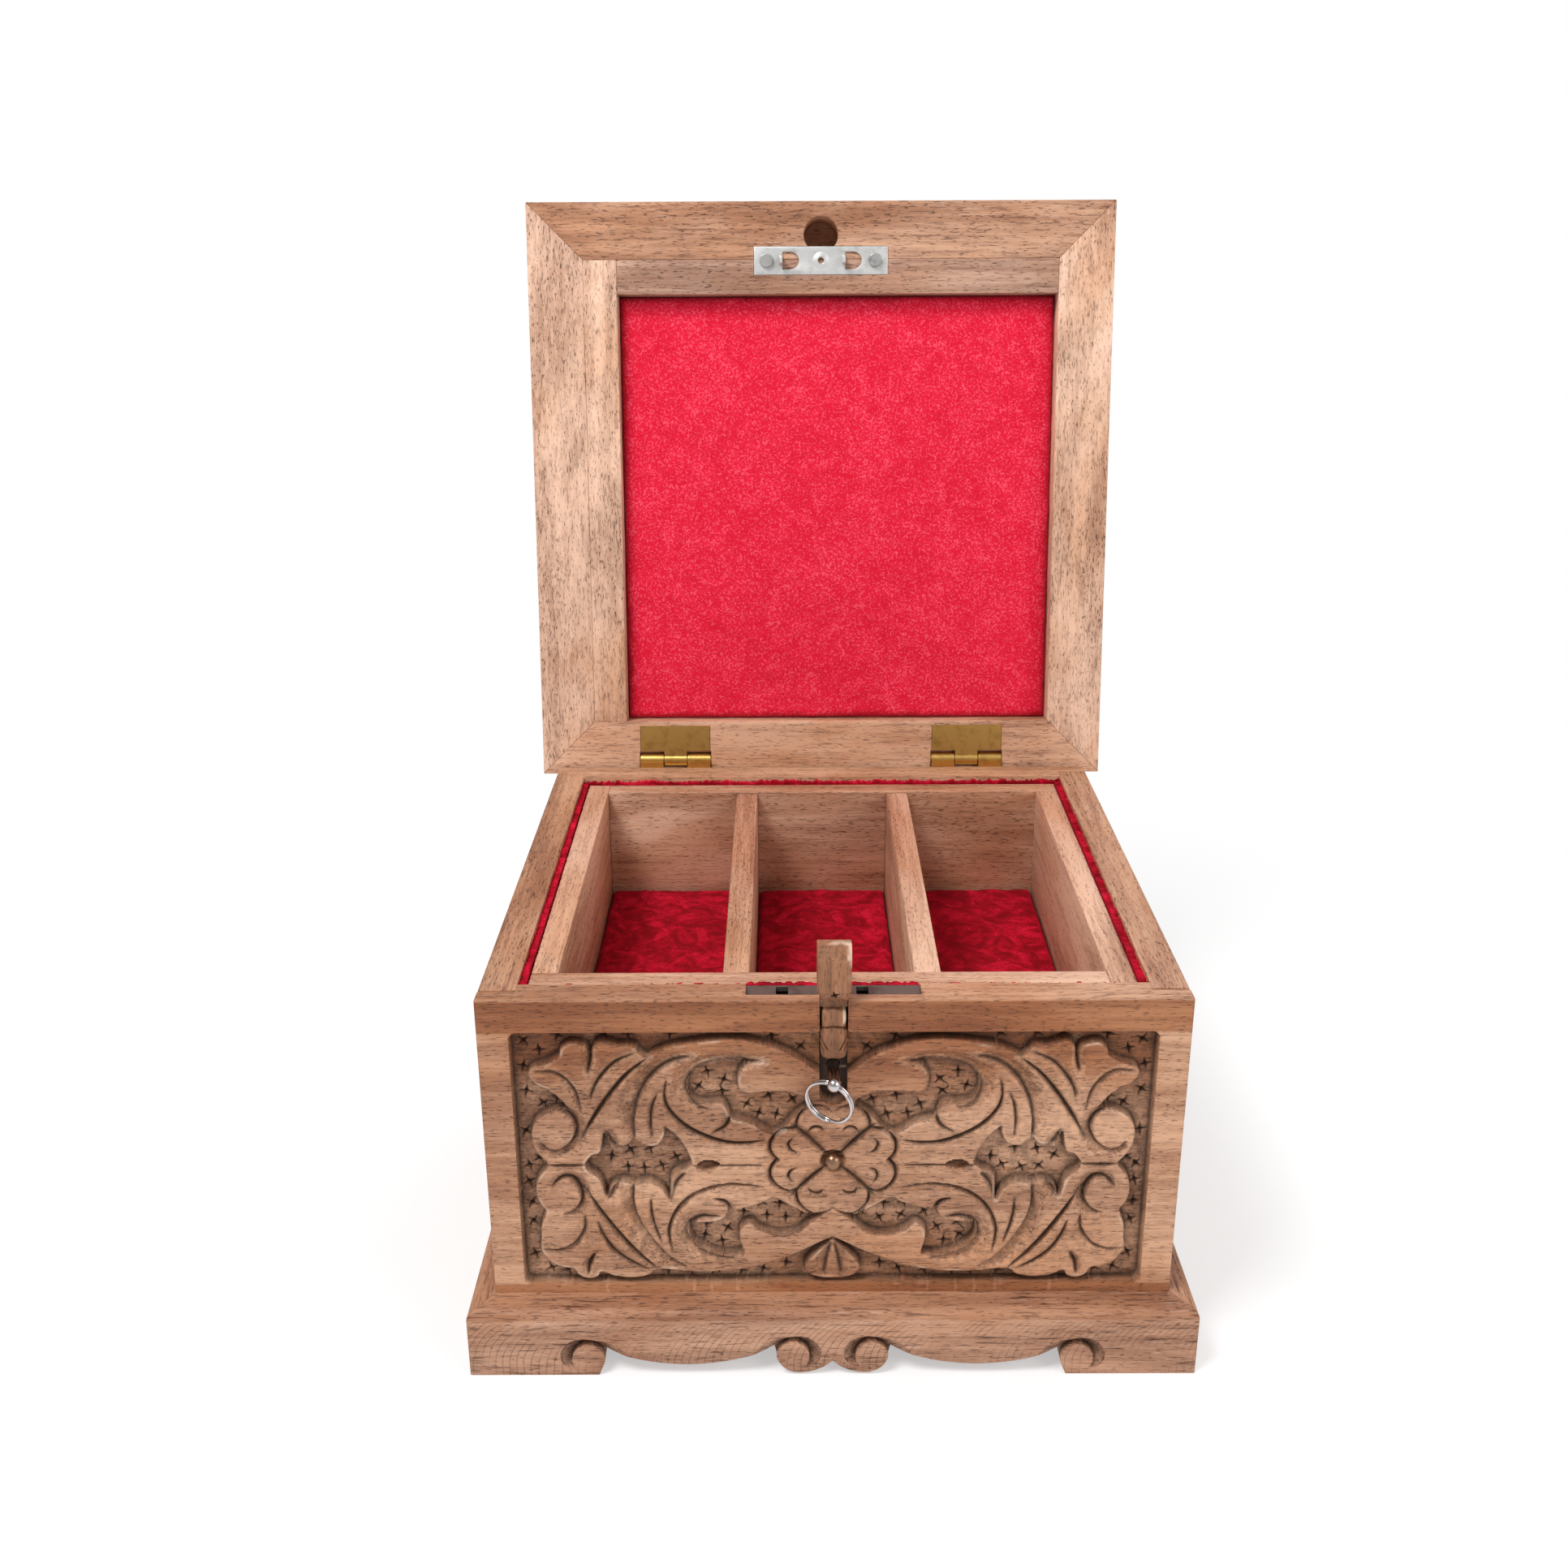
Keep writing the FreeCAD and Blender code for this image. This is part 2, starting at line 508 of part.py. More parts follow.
def apron_cutter(length, reach):
    """What is cut away under one side of the plinth: a block whose top follows the apron."""
    half = length / 2
    foot = half - size("foot_width")
    toe_x = half - size("foot_toe")
    radius = size("scroll_radius")
    end = size("apron_end")
    sag = size("apron_sag")
    spread = size("apron_scroll_spread")
    scroll_z = size("apron_scroll_height")
    turn = size("apron_turn")
    low = size("apron_low")
    cusp = Vector(0, 0, size("apron_cusp"))
    slant = math.radians(55)
    heel_turn = math.radians(20)
    below = -size("overcut")
    edges = []
    for side in (-1, 1):
        ground = Vector(side * toe_x, 0, below)
        toe = Vector(side * toe_x, 0, 0)
        foot_z = size("foot_scroll_height")
        heel_x = foot + radius * (1 - math.cos(heel_turn))
        heel = Vector(side * heel_x, 0, foot_z - radius * math.sin(heel_turn))
        bulge = Vector(side * foot, 0, foot_z)
        crest = Vector(side * (foot + size("apron_lip")), 0, end)
        middle_scroll = Vector(side * (spread + radius), 0, scroll_z)
        rise = Vector(side * (spread + radius + size("apron_end_gap")), 0, end)
        half_way = Vector(side * (foot + spread + radius) / 2, 0, sag)
        under_x = spread + radius * math.cos(slant)
        under = Vector(side * under_x, 0, scroll_z - radius * math.sin(slant))
        lowest = Vector(side * turn, 0, low)
        inner_curve = Vector(side * turn / 2, 0, (3 * low + size("apron_cusp")) / 4)
        edges.append(Part.makeLine(ground, toe))
        edges.append(Part.makeLine(toe, heel))
        edges.append(Part.Arc(heel, bulge, crest).toShape())
        edges.append(Part.Arc(crest, half_way, rise).toShape())
        edges.append(Part.makeLine(rise, middle_scroll))
        edges.append(Part.Arc(middle_scroll, under, lowest).toShape())
        edges.append(Part.Arc(lowest, inner_curve, cusp).toShape())
    edges.append(Part.makeLine(Vector(-toe_x, 0, below), Vector(toe_x, 0, below)))
    face = Part.Face(Part.Wire(Part.__sortEdges__(edges)))
    return face.extrude(Vector(0, reach, 0))


def make_plinth():
    """Four moulded pieces, mitred at the corners, with a scrolled apron under each."""
    out = size("plinth_out")
    seat = size("plinth_seat")
    height = size("plinth_top")
    width = size("body_width")
    depth = size("body_depth")
    middle = Vector(0, size(MIDDLE_Y), 0)
    over = size("overcut")
    section = plinth_section()
    for name, length, reach, turn in (("front", width, depth / 2, -90), ("right", depth, width / 2, 0),
                                      ("back", width, depth / 2, 90), ("left", depth, width / 2, 180)):
        full = length + 2 * out
        piece = section.copy()
        piece.translate(Vector(0, -full / 2, 0))
        piece = piece.extrude(Vector(0, full, 0))
        cutter = apron_cutter(full, 2 * (out + seat))
        cutter.rotate(Vector(), Vector(0, 0, 1), 90)
        cutter.translate(Vector(out + seat, 0, 0))
        piece = piece.cut(cutter)
        for side in (-1, 1):
            corner = Vector(out, side * full / 2, -over)
            run = out + seat + over
            far = Vector(out - run, side * (full / 2 - run), -over)
            past_far = Vector(far.x, side * (full / 2 + over), -over)
            past_corner = Vector(out + over, side * (full / 2 + over), -over)
            wedge = Part.makePolygon([corner, far, past_far, past_corner, corner])
            piece = piece.cut(Part.Face(wedge).extrude(Vector(0, 0, height + 2 * over)))
        piece.translate(Vector(reach, 0, 0))
        piece.rotate(Vector(), Vector(0, 0, 1), turn)
        feature = doc.addObject("Part::Feature", "plinth_" + name + "_shape")
        feature.Shape = piece
        feature.Placement = Placement(middle, Rotation()).multiply(feature.Placement)
        node("plinth_" + name, feature)


def make_lining():
    top = "(rim_height - lining_drop)"
    floor_top = f"({FLOOR_TOP} + lining_floor)"
    lock_bottom = "(rim_height - lock_plate_drop - lock_plate_thick - lock_case_height - 2 * lining_lock_gap)"
    lock_side = "(lock_width / 2 + lining_lock_gap)"
    node("lining_floor", group("lining_floor_shape", block(
        "lining_floor_block", (f"-{INNER_X}", INNER_FRONT, FLOOR_TOP),
        (INNER_X, INNER_BACK, floor_top))))
    front = block("lining_front_block", (f"-{INNER_X}", INNER_FRONT, floor_top),
                  (INNER_X, f"{INNER_FRONT} + lining", top))
    notch = block("lining_front_notch", (f"-{lock_side}", "body_front", lock_bottom),
                  (lock_side, MIDDLE_Y, "rim_height"))
    node("lining_front", cut("lining_front_shape", front, notch))
    node("lining_back", group("lining_back_shape", block(
        "lining_back_block", (f"-{INNER_X}", f"{INNER_BACK} - lining", floor_top),
        (INNER_X, INNER_BACK, top))))
    runner_top = f"({TRAY_BOTTOM} - tray_plywood)"
    for side, sign in (("left", -1), ("right", 1)):
        wall_x = f"{sign} * {INNER_X}"
        skin_x = f"{sign} * ({INNER_X} - lining)"
        low, high = (wall_x, skin_x) if sign < 0 else (skin_x, wall_x)
        node("lining_" + side, group("lining_" + side + "_shape", block(
            "lining_" + side + "_block", (low, f"{INNER_FRONT} + lining", floor_top),
            (high, f"{INNER_BACK} - lining", top))))
        ledge_x = f"{sign} * ({INNER_X} - lining - runner_width)"
        low, high = (skin_x, ledge_x) if sign < 0 else (ledge_x, skin_x)
        node("tray_runner_" + side, group("tray_runner_" + side + "_shape", block(
            "tray_runner_" + side + "_block",
            (low, f"{INNER_FRONT} + lining", f"{runner_top} - runner_height"),
            (high, f"{INNER_BACK} - lining", runner_top))))


def make_tray():
    """Four butted boards that overlap in turn, two partitions, a plywood bottom and three pads."""
    half_x = "(body_width / 2 - wall - lining - tray_gap)"
    front = "(body_front + lock_case_front + lock_case_depth + tray_gap)"
    back = f"({INNER_BACK} - lining - tray_gap)"
    boards = {
        "tray_front": ((f"-{half_x}", front, TRAY_BOTTOM),
                       (f"{half_x} - tray_board", f"{front} + tray_board", TRAY_TOP)),
        "tray_right": ((f"{half_x} - tray_board", front, TRAY_BOTTOM),
                       (half_x, f"{back} - tray_board", TRAY_TOP)),
        "tray_back": ((f"-{half_x} + tray_board", f"{back} - tray_board", TRAY_BOTTOM),
                      (half_x, back, TRAY_TOP)),
        "tray_left": ((f"-{half_x}", f"{front} + tray_board", TRAY_BOTTOM),
                      (f"-{half_x} + tray_board", back, TRAY_TOP)),
    }
    inner_half = f"({half_x} - tray_board)"
    bay = f"((2 * {inner_half} - 2 * partition) / 3)"
    dado_front = f"({front} + tray_board - partition_dado)"
    dado_back = f"({back} - tray_board + partition_dado)"
    partitions = {}
    for name, low_x in (("left", f"(-{inner_half} + {bay})"),
                        ("right", f"({inner_half} - {bay} - partition)")):
        partitions[name] = ((low_x, dado_front, TRAY_BOTTOM),
                            (f"{low_x} + partition", dado_back, f"{TRAY_TOP} - partition_drop"))
    for name, (low, high) in boards.items():
        blank = block(name + "_board", low, high)
        if name in ("tray_front", "tray_back"):
            dados = [block(f"{name}_{side}_dado", *partitions[side]) for side in partitions]
            blank = cut(name + "_shape", blank, *dados)
        else:
            blank = group(name + "_shape", blank)
        node(name, blank)
    for side, corners in partitions.items():
        node("tray_partition_" + side, group(f"tray_partition_{side}_shape",
                                             block(f"tray_partition_{side}_block", *corners)))
    node("tray_bottom", group("tray_bottom_shape", block(
        "tray_bottom_block", (f"-{half_x}", front, f"{TRAY_BOTTOM} - tray_plywood"),
        (half_x, back, TRAY_BOTTOM))))
    for number, name in enumerate(("left", "middle", "right")):
        low_x = f"(-{inner_half} + {number} * ({bay} + partition) + tray_pad_gap)"
        node("tray_pad_" + name, group(f"tray_pad_{name}_shape", block(
            f"tray_pad_{name}_block", (low_x, f"{front} + tray_board + tray_pad_gap", TRAY_BOTTOM),
            (f"{low_x} + {bay} - 2 * tray_pad_gap", f"{back} - tray_board - tray_pad_gap",
             f"{TRAY_BOTTOM} + tray_pad"))))


def lid_envelope():
    """The closed lid as one block, its top edges rounded, about the hinge pin."""
    body = doc.addObject("PartDesign::Body", "lid_envelope")
    sketch = sketch_on(body, "XY_Plane", "lid_envelope_outline")
    outline(sketch, (("-lid_width / 2", LID_FRONT), ("lid_width / 2", LID_FRONT),
                     ("lid_width / 2", LID_REAR), ("-lid_width / 2", LID_REAR)))
    pad = body.newObject("PartDesign::Pad", "lid_envelope_pad")
    pad.Profile = sketch
    bind(pad, Length="lid_thick")
    doc.recompute()
    top = [f"Edge{i}" for i, edge in enumerate(pad.Shape.Edges, start=1)
           if edge.BoundBox.ZMin > size("lid_thick") - 0.01]
    rounding = body.newObject("PartDesign::Fillet", "lid_envelope_rounding")
    rounding.Base = (pad, top)
    bind(rounding, Radius="lid_round")
    return place(body, 0, 0, LID_FACE)


def hinge_mortises():
    """What the lid's back rail loses to the two hinges: mortises, ways and screw holes."""
    tools = []
    for side, sign in (("left", -1), ("right", 1)):
        centre = f"{sign} * hinge_spread"
        low_x = f"{centre} - hinge_length / 2"
        high_x = f"{centre} + hinge_length / 2"
        tools.append(rod(f"knuckle_mortise_{side}", (f"{low_x} - leaf_gap", 0, 0),
                         "knuckle_radius + leaf_gap", "hinge_length + 2 * leaf_gap", "X"))
        tools.append(block(f"leaf_mortise_{side}", (low_x, "-lid_leaf_length", f"{LID_FACE} - overcut"),
                           (high_x, 0, f"{LID_FACE} + leaf_thick")))
        tools.append(block(f"leaf_way_{side}", (f"{low_x} - leaf_gap", 0, f"{LID_FACE} - overcut"),
                           (f"{high_x} + leaf_gap", f"{LID_REAR} + overcut",
                            f"{LID_FACE} + leaf_thick + 2 * leaf_gap")))
        tools.append(block(f"knuckle_way_{side}",
                           (f"{low_x} - leaf_gap", "-hinge_back - leaf_gap", f"{LID_FACE} - overcut"),
                           (f"{high_x} + leaf_gap", "knuckle_radius + leaf_gap", 0)))
        for number in (1, 3):
            tools.append(rod(f"lid_screw_hole_{side}_{number}",
                             (f"{low_x} + {number} * hinge_length / 4", "-lid_leaf_length + leaf_edge",
                              LID_FACE), "screw_radius", "screw_length"))
    return tools


def make_lid():
    """A mitred frame with two inner strips, a carved panel on top and a velvet panel inside."""
    half = "lid_width / 2"
    inner = "(lid_width / 2 - lid_rail)"
    near = f"({LID_FRONT} + lid_rail)"
    far = f"({LID_REAR} - lid_rail)"
    panel_low = f"({LID_FACE} + lid_strip_thick)"
    panel_x = f"({inner} + lid_panel_rebate)"
    panel_near = f"({near} - lid_panel_rebate)"
    panel_far = f"({far} + lid_panel_rebate)"
    mitre = {
        "front": ((f"-{half}", LID_FRONT), (half, LID_FRONT), (inner, near), (f"-{inner}", near)),
        "back": ((f"-{half}", LID_REAR), (f"-{inner}", far), (inner, far), (half, LID_REAR)),
        "left": ((f"-{half}", LID_FRONT), (f"-{inner}", near), (f"-{inner}", far),
                 (f"-{half}", LID_REAR)),
        "right": ((half, LID_FRONT), (half, LID_REAR), (inner, far), (inner, near)),
    }
    seat = block("lid_panel_seat", (f"-{panel_x}", panel_near, panel_low),
                 (panel_x, panel_far, f"{LID_TOP} + overcut"))
    strike_seat = block("strike_seat", ("-strike_length / 2", f"{LOCK_IN_LID} - strike_width / 2",
                                        f"{LID_FACE} - overcut"),
                        ("strike_length / 2", f"{LOCK_IN_LID} + strike_width / 2",
                         f"{LID_FACE} + strike_thick"))
    cover_hole = rod("cover_hole", (0, COVER_IN_LID, f"{LID_FACE} - overcut"), "cover_hole_radius",
                     "cover_hole_depth + overcut")
    envelope = lid_envelope()
    for name, corners in mitre.items():
        blank = padded("lid_rail_" + name + "_body", "XY_Plane", corners, f"2 * {LID_TOP}")
        rounded = doc.addObject("Part::Common", f"lid_rail_{name}_rounded")
        rounded.Base = blank
        rounded.Tool = envelope
        tools = [seat]
        if name == "front":
            tools.append(cover_hole)
            tools.append(strike_seat)
        if name == "back":
            tools.extend(hinge_mortises())
        rail = cut("lid_rail_" + name + "_shape", rounded, *tools)
        node("lid_rail_" + name, swing_open(rail))

    strip_top = f"{LID_FACE} + lid_strip_thick"
    front_strip = block("lid_strip_front_block", (f"-{inner} + lid_strip", near, LID_FACE),
                        (inner, f"{near} + lid_strip", strip_top))
    node("lid_strip_front", swing_open(cut("lid_strip_front_shape", front_strip, strike_seat)))
    node("lid_strip_left", swing_open(group("lid_strip_left_shape", block(
        "lid_strip_left_block", (f"-{inner}", near, LID_FACE),
        (f"-{inner} + lid_strip", far, strip_top)))))

    panel = block("lid_panel_block", (f"-{panel_x}", panel_near, panel_low),
                  (panel_x, panel_far, LID_TOP))
    sunk = block("lid_field", (f"-{panel_x} + lid_field_margin", f"{panel_near} + lid_field_margin",
                               f"{LID_TOP} - field_depth"),
                 (f"{panel_x} - lid_field_margin", f"{panel_far} - lid_field_margin", f"{LID_TOP} + overcut"))
    half_field = f"(({panel_far} - {panel_near}) / 4 - lid_field_margin / 2)"
    reliefs = []
    for row, sign in (("near", -1), ("far", 1)):
        relief = make_relief("lid_" + row, f"({panel_x} - lid_field_margin)", half_field)
        relief.Placement = Placement(Vector(), Rotation(Vector(1, 0, 0), -90))
        place(relief, 0, f"({panel_near} + {panel_far}) / 2 + {sign} * {half_field}", LID_TOP)
        reliefs.append(relief)
    carved = fuse("lid_panel_carved", cut("lid_panel_sunk", panel, sunk), *reliefs)
    node("lid_panel", swing_open(cut("lid_panel_shape", carved, cover_hole)))
    node("lid_velvet", swing_open(group("lid_velvet_shape", block(
        "lid_velvet_block",
        (f"-{inner} + lid_strip", f"{near} + lid_strip", f"{LID_FACE} + lid_pad_recess"),
        (inner, far, panel_low)))))


def make_strike():
    """The strike plate let into the lid's front rail, with two loops bent out of it."""
    low_y = f"({LOCK_IN_LID} - strike_width / 2)"
    plate = block("strike_blank", ("-strike_length / 2", low_y, LID_FACE),
                  ("strike_length / 2", f"{low_y} + strike_width", f"{LID_FACE} + strike_thick"))
    holes = [rod("strike_middle_hole", (0, LOCK_IN_LID, f"{LID_FACE} - overcut"), "strike_hole_radius",
                 "strike_thick + 2 * overcut")]
    loops = []
    for side in ("left", "right"):
        edge = f"(loop_{side} + loop_thick / 2)"
        holes.append(block(f"strike_window_{side}",
                           (edge, f"{LOCK_IN_LID} - loop_depth / 2", f"{LID_FACE} - overcut"),
                           (f"{edge} + strike_window", f"{LOCK_IN_LID} + loop_depth / 2",
                            f"{LID_FACE} + strike_thick + overcut")))
        tab = block(f"loop_{side}_tab", (f"loop_{side} - loop_thick / 2", f"{LOCK_IN_LID} - loop_depth / 2",
                                         f"{LID_FACE} - loop_reach"),
                    (edge, f"{LOCK_IN_LID} + loop_depth / 2", f"{LID_FACE} + strike_thick"))
        axis_z = "(-hinge_up - loop_axis)"
        eye = block(f"loop_{side}_eye", (f"loop_{side} - loop_hole", f"{LOCK_IN_LID} - loop_hole / 2",
                                         f"{axis_z} - loop_hole / 2"),
                    (f"loop_{side} + loop_hole", f"{LOCK_IN_LID} + loop_hole / 2",
                     f"{axis_z} + loop_hole / 2"))
        loops.append(cut(f"loop_{side}_shape", tab, eye))
    pierced = cut("strike_pierced", plate, *holes)
    node("strike_plate", swing_open(fuse("strike_plate_shape", pierced, *loops)))
    for side, sign in (("left", -1), ("right", 1)):
        spot = (f"{sign} * strike_nail_spread", LOCK_IN_LID, LID_FACE)
        dome = ball(f"strike_nail_{side}_ball", spot, "strike_nail_radius")
        dome_box = block(f"strike_nail_{side}_keep",
                         (f"{spot[0]} - 2 * strike_nail_radius", f"{LOCK_IN_LID} - 2 * strike_nail_radius",
                          f"{LID_FACE} - strike_nail_dome"),
                         (f"{spot[0]} + 2 * strike_nail_radius", f"{LOCK_IN_LID} + 2 * strike_nail_radius",
                          LID_FACE))
        head = doc.addObject("Part::Common", f"strike_nail_{side}_head")
        head.Base = dome
        head.Tool = dome_box
        node(f"strike_nail_{side}", swing_open(group(f"strike_nail_{side}_shape", head)))


def make_hinges():
    """Two butt hinges: a leaf on the back wall, a leaf in the lid, and a pin through both."""
    third = "(hinge_length / 3)"
    for side, sign in (("left", -1), ("right", 1)):
        low_x = f"({sign} * hinge_spread - hinge_length / 2)"
        bore = "hinge_pin_radius + pin_clearance"
        leaf = block(f"hinge_{side}_body_plate", (low_x, BACK, f"{HINGE_Z} - body_leaf_height"),
                     (f"{low_x} + hinge_length", f"{BACK} + leaf_thick", HINGE_Z))
        gap = block(f"hinge_{side}_body_gap",
                    (f"{low_x} + {third} - knuckle_gap", f"{BACK} - overcut",
                     f"{HINGE_Z} - knuckle_radius - knuckle_gap"),
                    (f"{low_x} + 2 * {third} + knuckle_gap", f"{HINGE_Y} + knuckle_radius + overcut",
                     f"{HINGE_Z} + knuckle_radius + overcut"))
        barrel = rod(f"hinge_{side}_body_barrel", (low_x, HINGE_Y, HINGE_Z), "knuckle_radius",
                     "hinge_length", "X")
        eye = rod(f"hinge_{side}_body_bore", (f"{low_x} - overcut", HINGE_Y, HINGE_Z), bore,
                  "hinge_length + 2 * overcut", "X")
        holes = [gap, eye]
        screws = []
        for number in (1, 3):
            spot = (f"{low_x} + {number} * hinge_length / 4", f"{BACK} + leaf_thick", BODY_SCREW_Z)
            head_start = (spot[0], f"{spot[1]} - screw_head", spot[2])
            shank_start = (spot[0], f"{spot[1]} - screw_length", spot[2])
            screws.append(rod(f"hinge_{side}_body_head_{number}", head_start, "screw_head_radius",
                              "screw_head", "Y"))
            screws.append(rod(f"hinge_{side}_body_screw_{number}", shank_start, "screw_radius",
                              "screw_length", "Y"))
        driven = fuse(f"hinge_{side}_body_screws_shape", *screws)
        node(f"hinge_{side}_body_leaf", cut(f"hinge_{side}_body_leaf_shape",
                                            fuse(f"hinge_{side}_body_blank", leaf, barrel), *holes, driven))
        node(f"hinge_{side}_body_screws", driven)
        node(f"hinge_{side}_pin", group(f"hinge_{side}_pin_shape", rod(
            f"hinge_{side}_pin_rod", (f"{low_x} - hinge_pin_out", HINGE_Y, HINGE_Z), "hinge_pin_radius",
            "hinge_length + 2 * hinge_pin_out", "X")))

        lid_plate = block(f"hinge_{side}_lid_plate",
                          (f"{low_x} + knuckle_gap", "-lid_leaf_length", LID_FACE),
                          (f"{low_x} + hinge_length - knuckle_gap", "-hinge_back - leaf_gap",
                           f"{LID_FACE} + leaf_thick"))
        lid_tongue = block(f"hinge_{side}_lid_tongue",
                           (f"{low_x} + {third} + knuckle_gap", "-hinge_back - leaf_gap", LID_FACE),
                           (f"{low_x} + 2 * {third} - knuckle_gap", 0, f"{LID_FACE} + leaf_thick"))
        lid_barrel = rod(f"hinge_{side}_lid_barrel", (f"{low_x} + {third} + knuckle_gap", 0, 0),
                         "knuckle_radius", f"{third} - 2 * knuckle_gap", "X")
        lid_eye = rod(f"hinge_{side}_lid_bore", (f"{low_x} - overcut", 0, 0), bore,
                      "hinge_length + 2 * overcut", "X")
        lid_screws = []
        for number in (1, 3):
            spot = (f"{low_x} + {number} * hinge_length / 4", "-lid_leaf_length + leaf_edge", LID_FACE)
            lid_screws.append(rod(f"hinge_{side}_lid_head_{number}", spot, "screw_head_radius", "screw_head"))
            lid_screws.append(rod(f"hinge_{side}_lid_screw_{number}", spot, "screw_radius", "screw_length"))
        lid_driven = fuse(f"hinge_{side}_lid_screws_shape", *lid_screws)
        leaf_blank = fuse(f"hinge_{side}_lid_blank", lid_plate, lid_tongue, lid_barrel)
        node(f"hinge_{side}_lid_leaf", swing_open(cut(f"hinge_{side}_lid_leaf_shape", leaf_blank,
                                                      lid_eye, lid_driven)))
        node(f"hinge_{side}_lid_screws", swing_open(group(f"hinge_{side}_lid_screws_group", lid_driven)))


def make_cover():
    """The wooden keyhole cover: a tongue in the wall's slot, a head above the rim and a bud below."""
    half = "(slot_width / 2 - slide_clearance)"
    back = "(body_front + slot_depth - slide_clearance)"
    head_half = "cover_head_width / 2"
    tongue = block("cover_tongue", (f"-{half}", f"{back} - cover_thick", f"cover_bottom + {half}"),
                   (half, back, "rim_height - leaf_gap"))
    head = padded("cover_head", "XZ_Plane", (
        (f"-{half}", "cover_head_bottom"), (half, "cover_head_bottom"),
        (head_half, "cover_head_bottom + cover_neck"), (head_half, "cover_top - cover_chamfer"),
        (f"{head_half} - cover_chamfer", "cover_top"), (f"-{head_half} + cover_chamfer", "cover_top"),
        (f"-{head_half}", "cover_top - cover_chamfer"), (f"-{head_half}", "cover_head_bottom + cover_neck")),
        "cover_head_out")
    place(head, 0, "body_front - cover_head_out / 2 - slide_clearance", 0)
    head_back = block("cover_head_back", (f"-{half}", "body_front - 2 * slide_clearance",
                                          "rim_height - cover_head_root"),
                      (half, "body_front + cover_head_in", "cover_top - cover_chamfer"))
    bud = block("cover_bud",
                (f"-{half} + 2 * slide_clearance", "body_front - cover_bud_out", f"cover_bottom + {half}"),
                (f"{half} - 2 * slide_clearance", back, "cover_bud_top"))
    bud_end = rod("cover_bud_end", (0, "body_front - cover_bud_out", f"cover_bottom + {half}"), half,
                  "slot_depth + cover_bud_out - slide_clearance", "Y")
    node("keyhole_cover", fuse("keyhole_cover_shape", tongue, head, head_back, bud, bud_end))


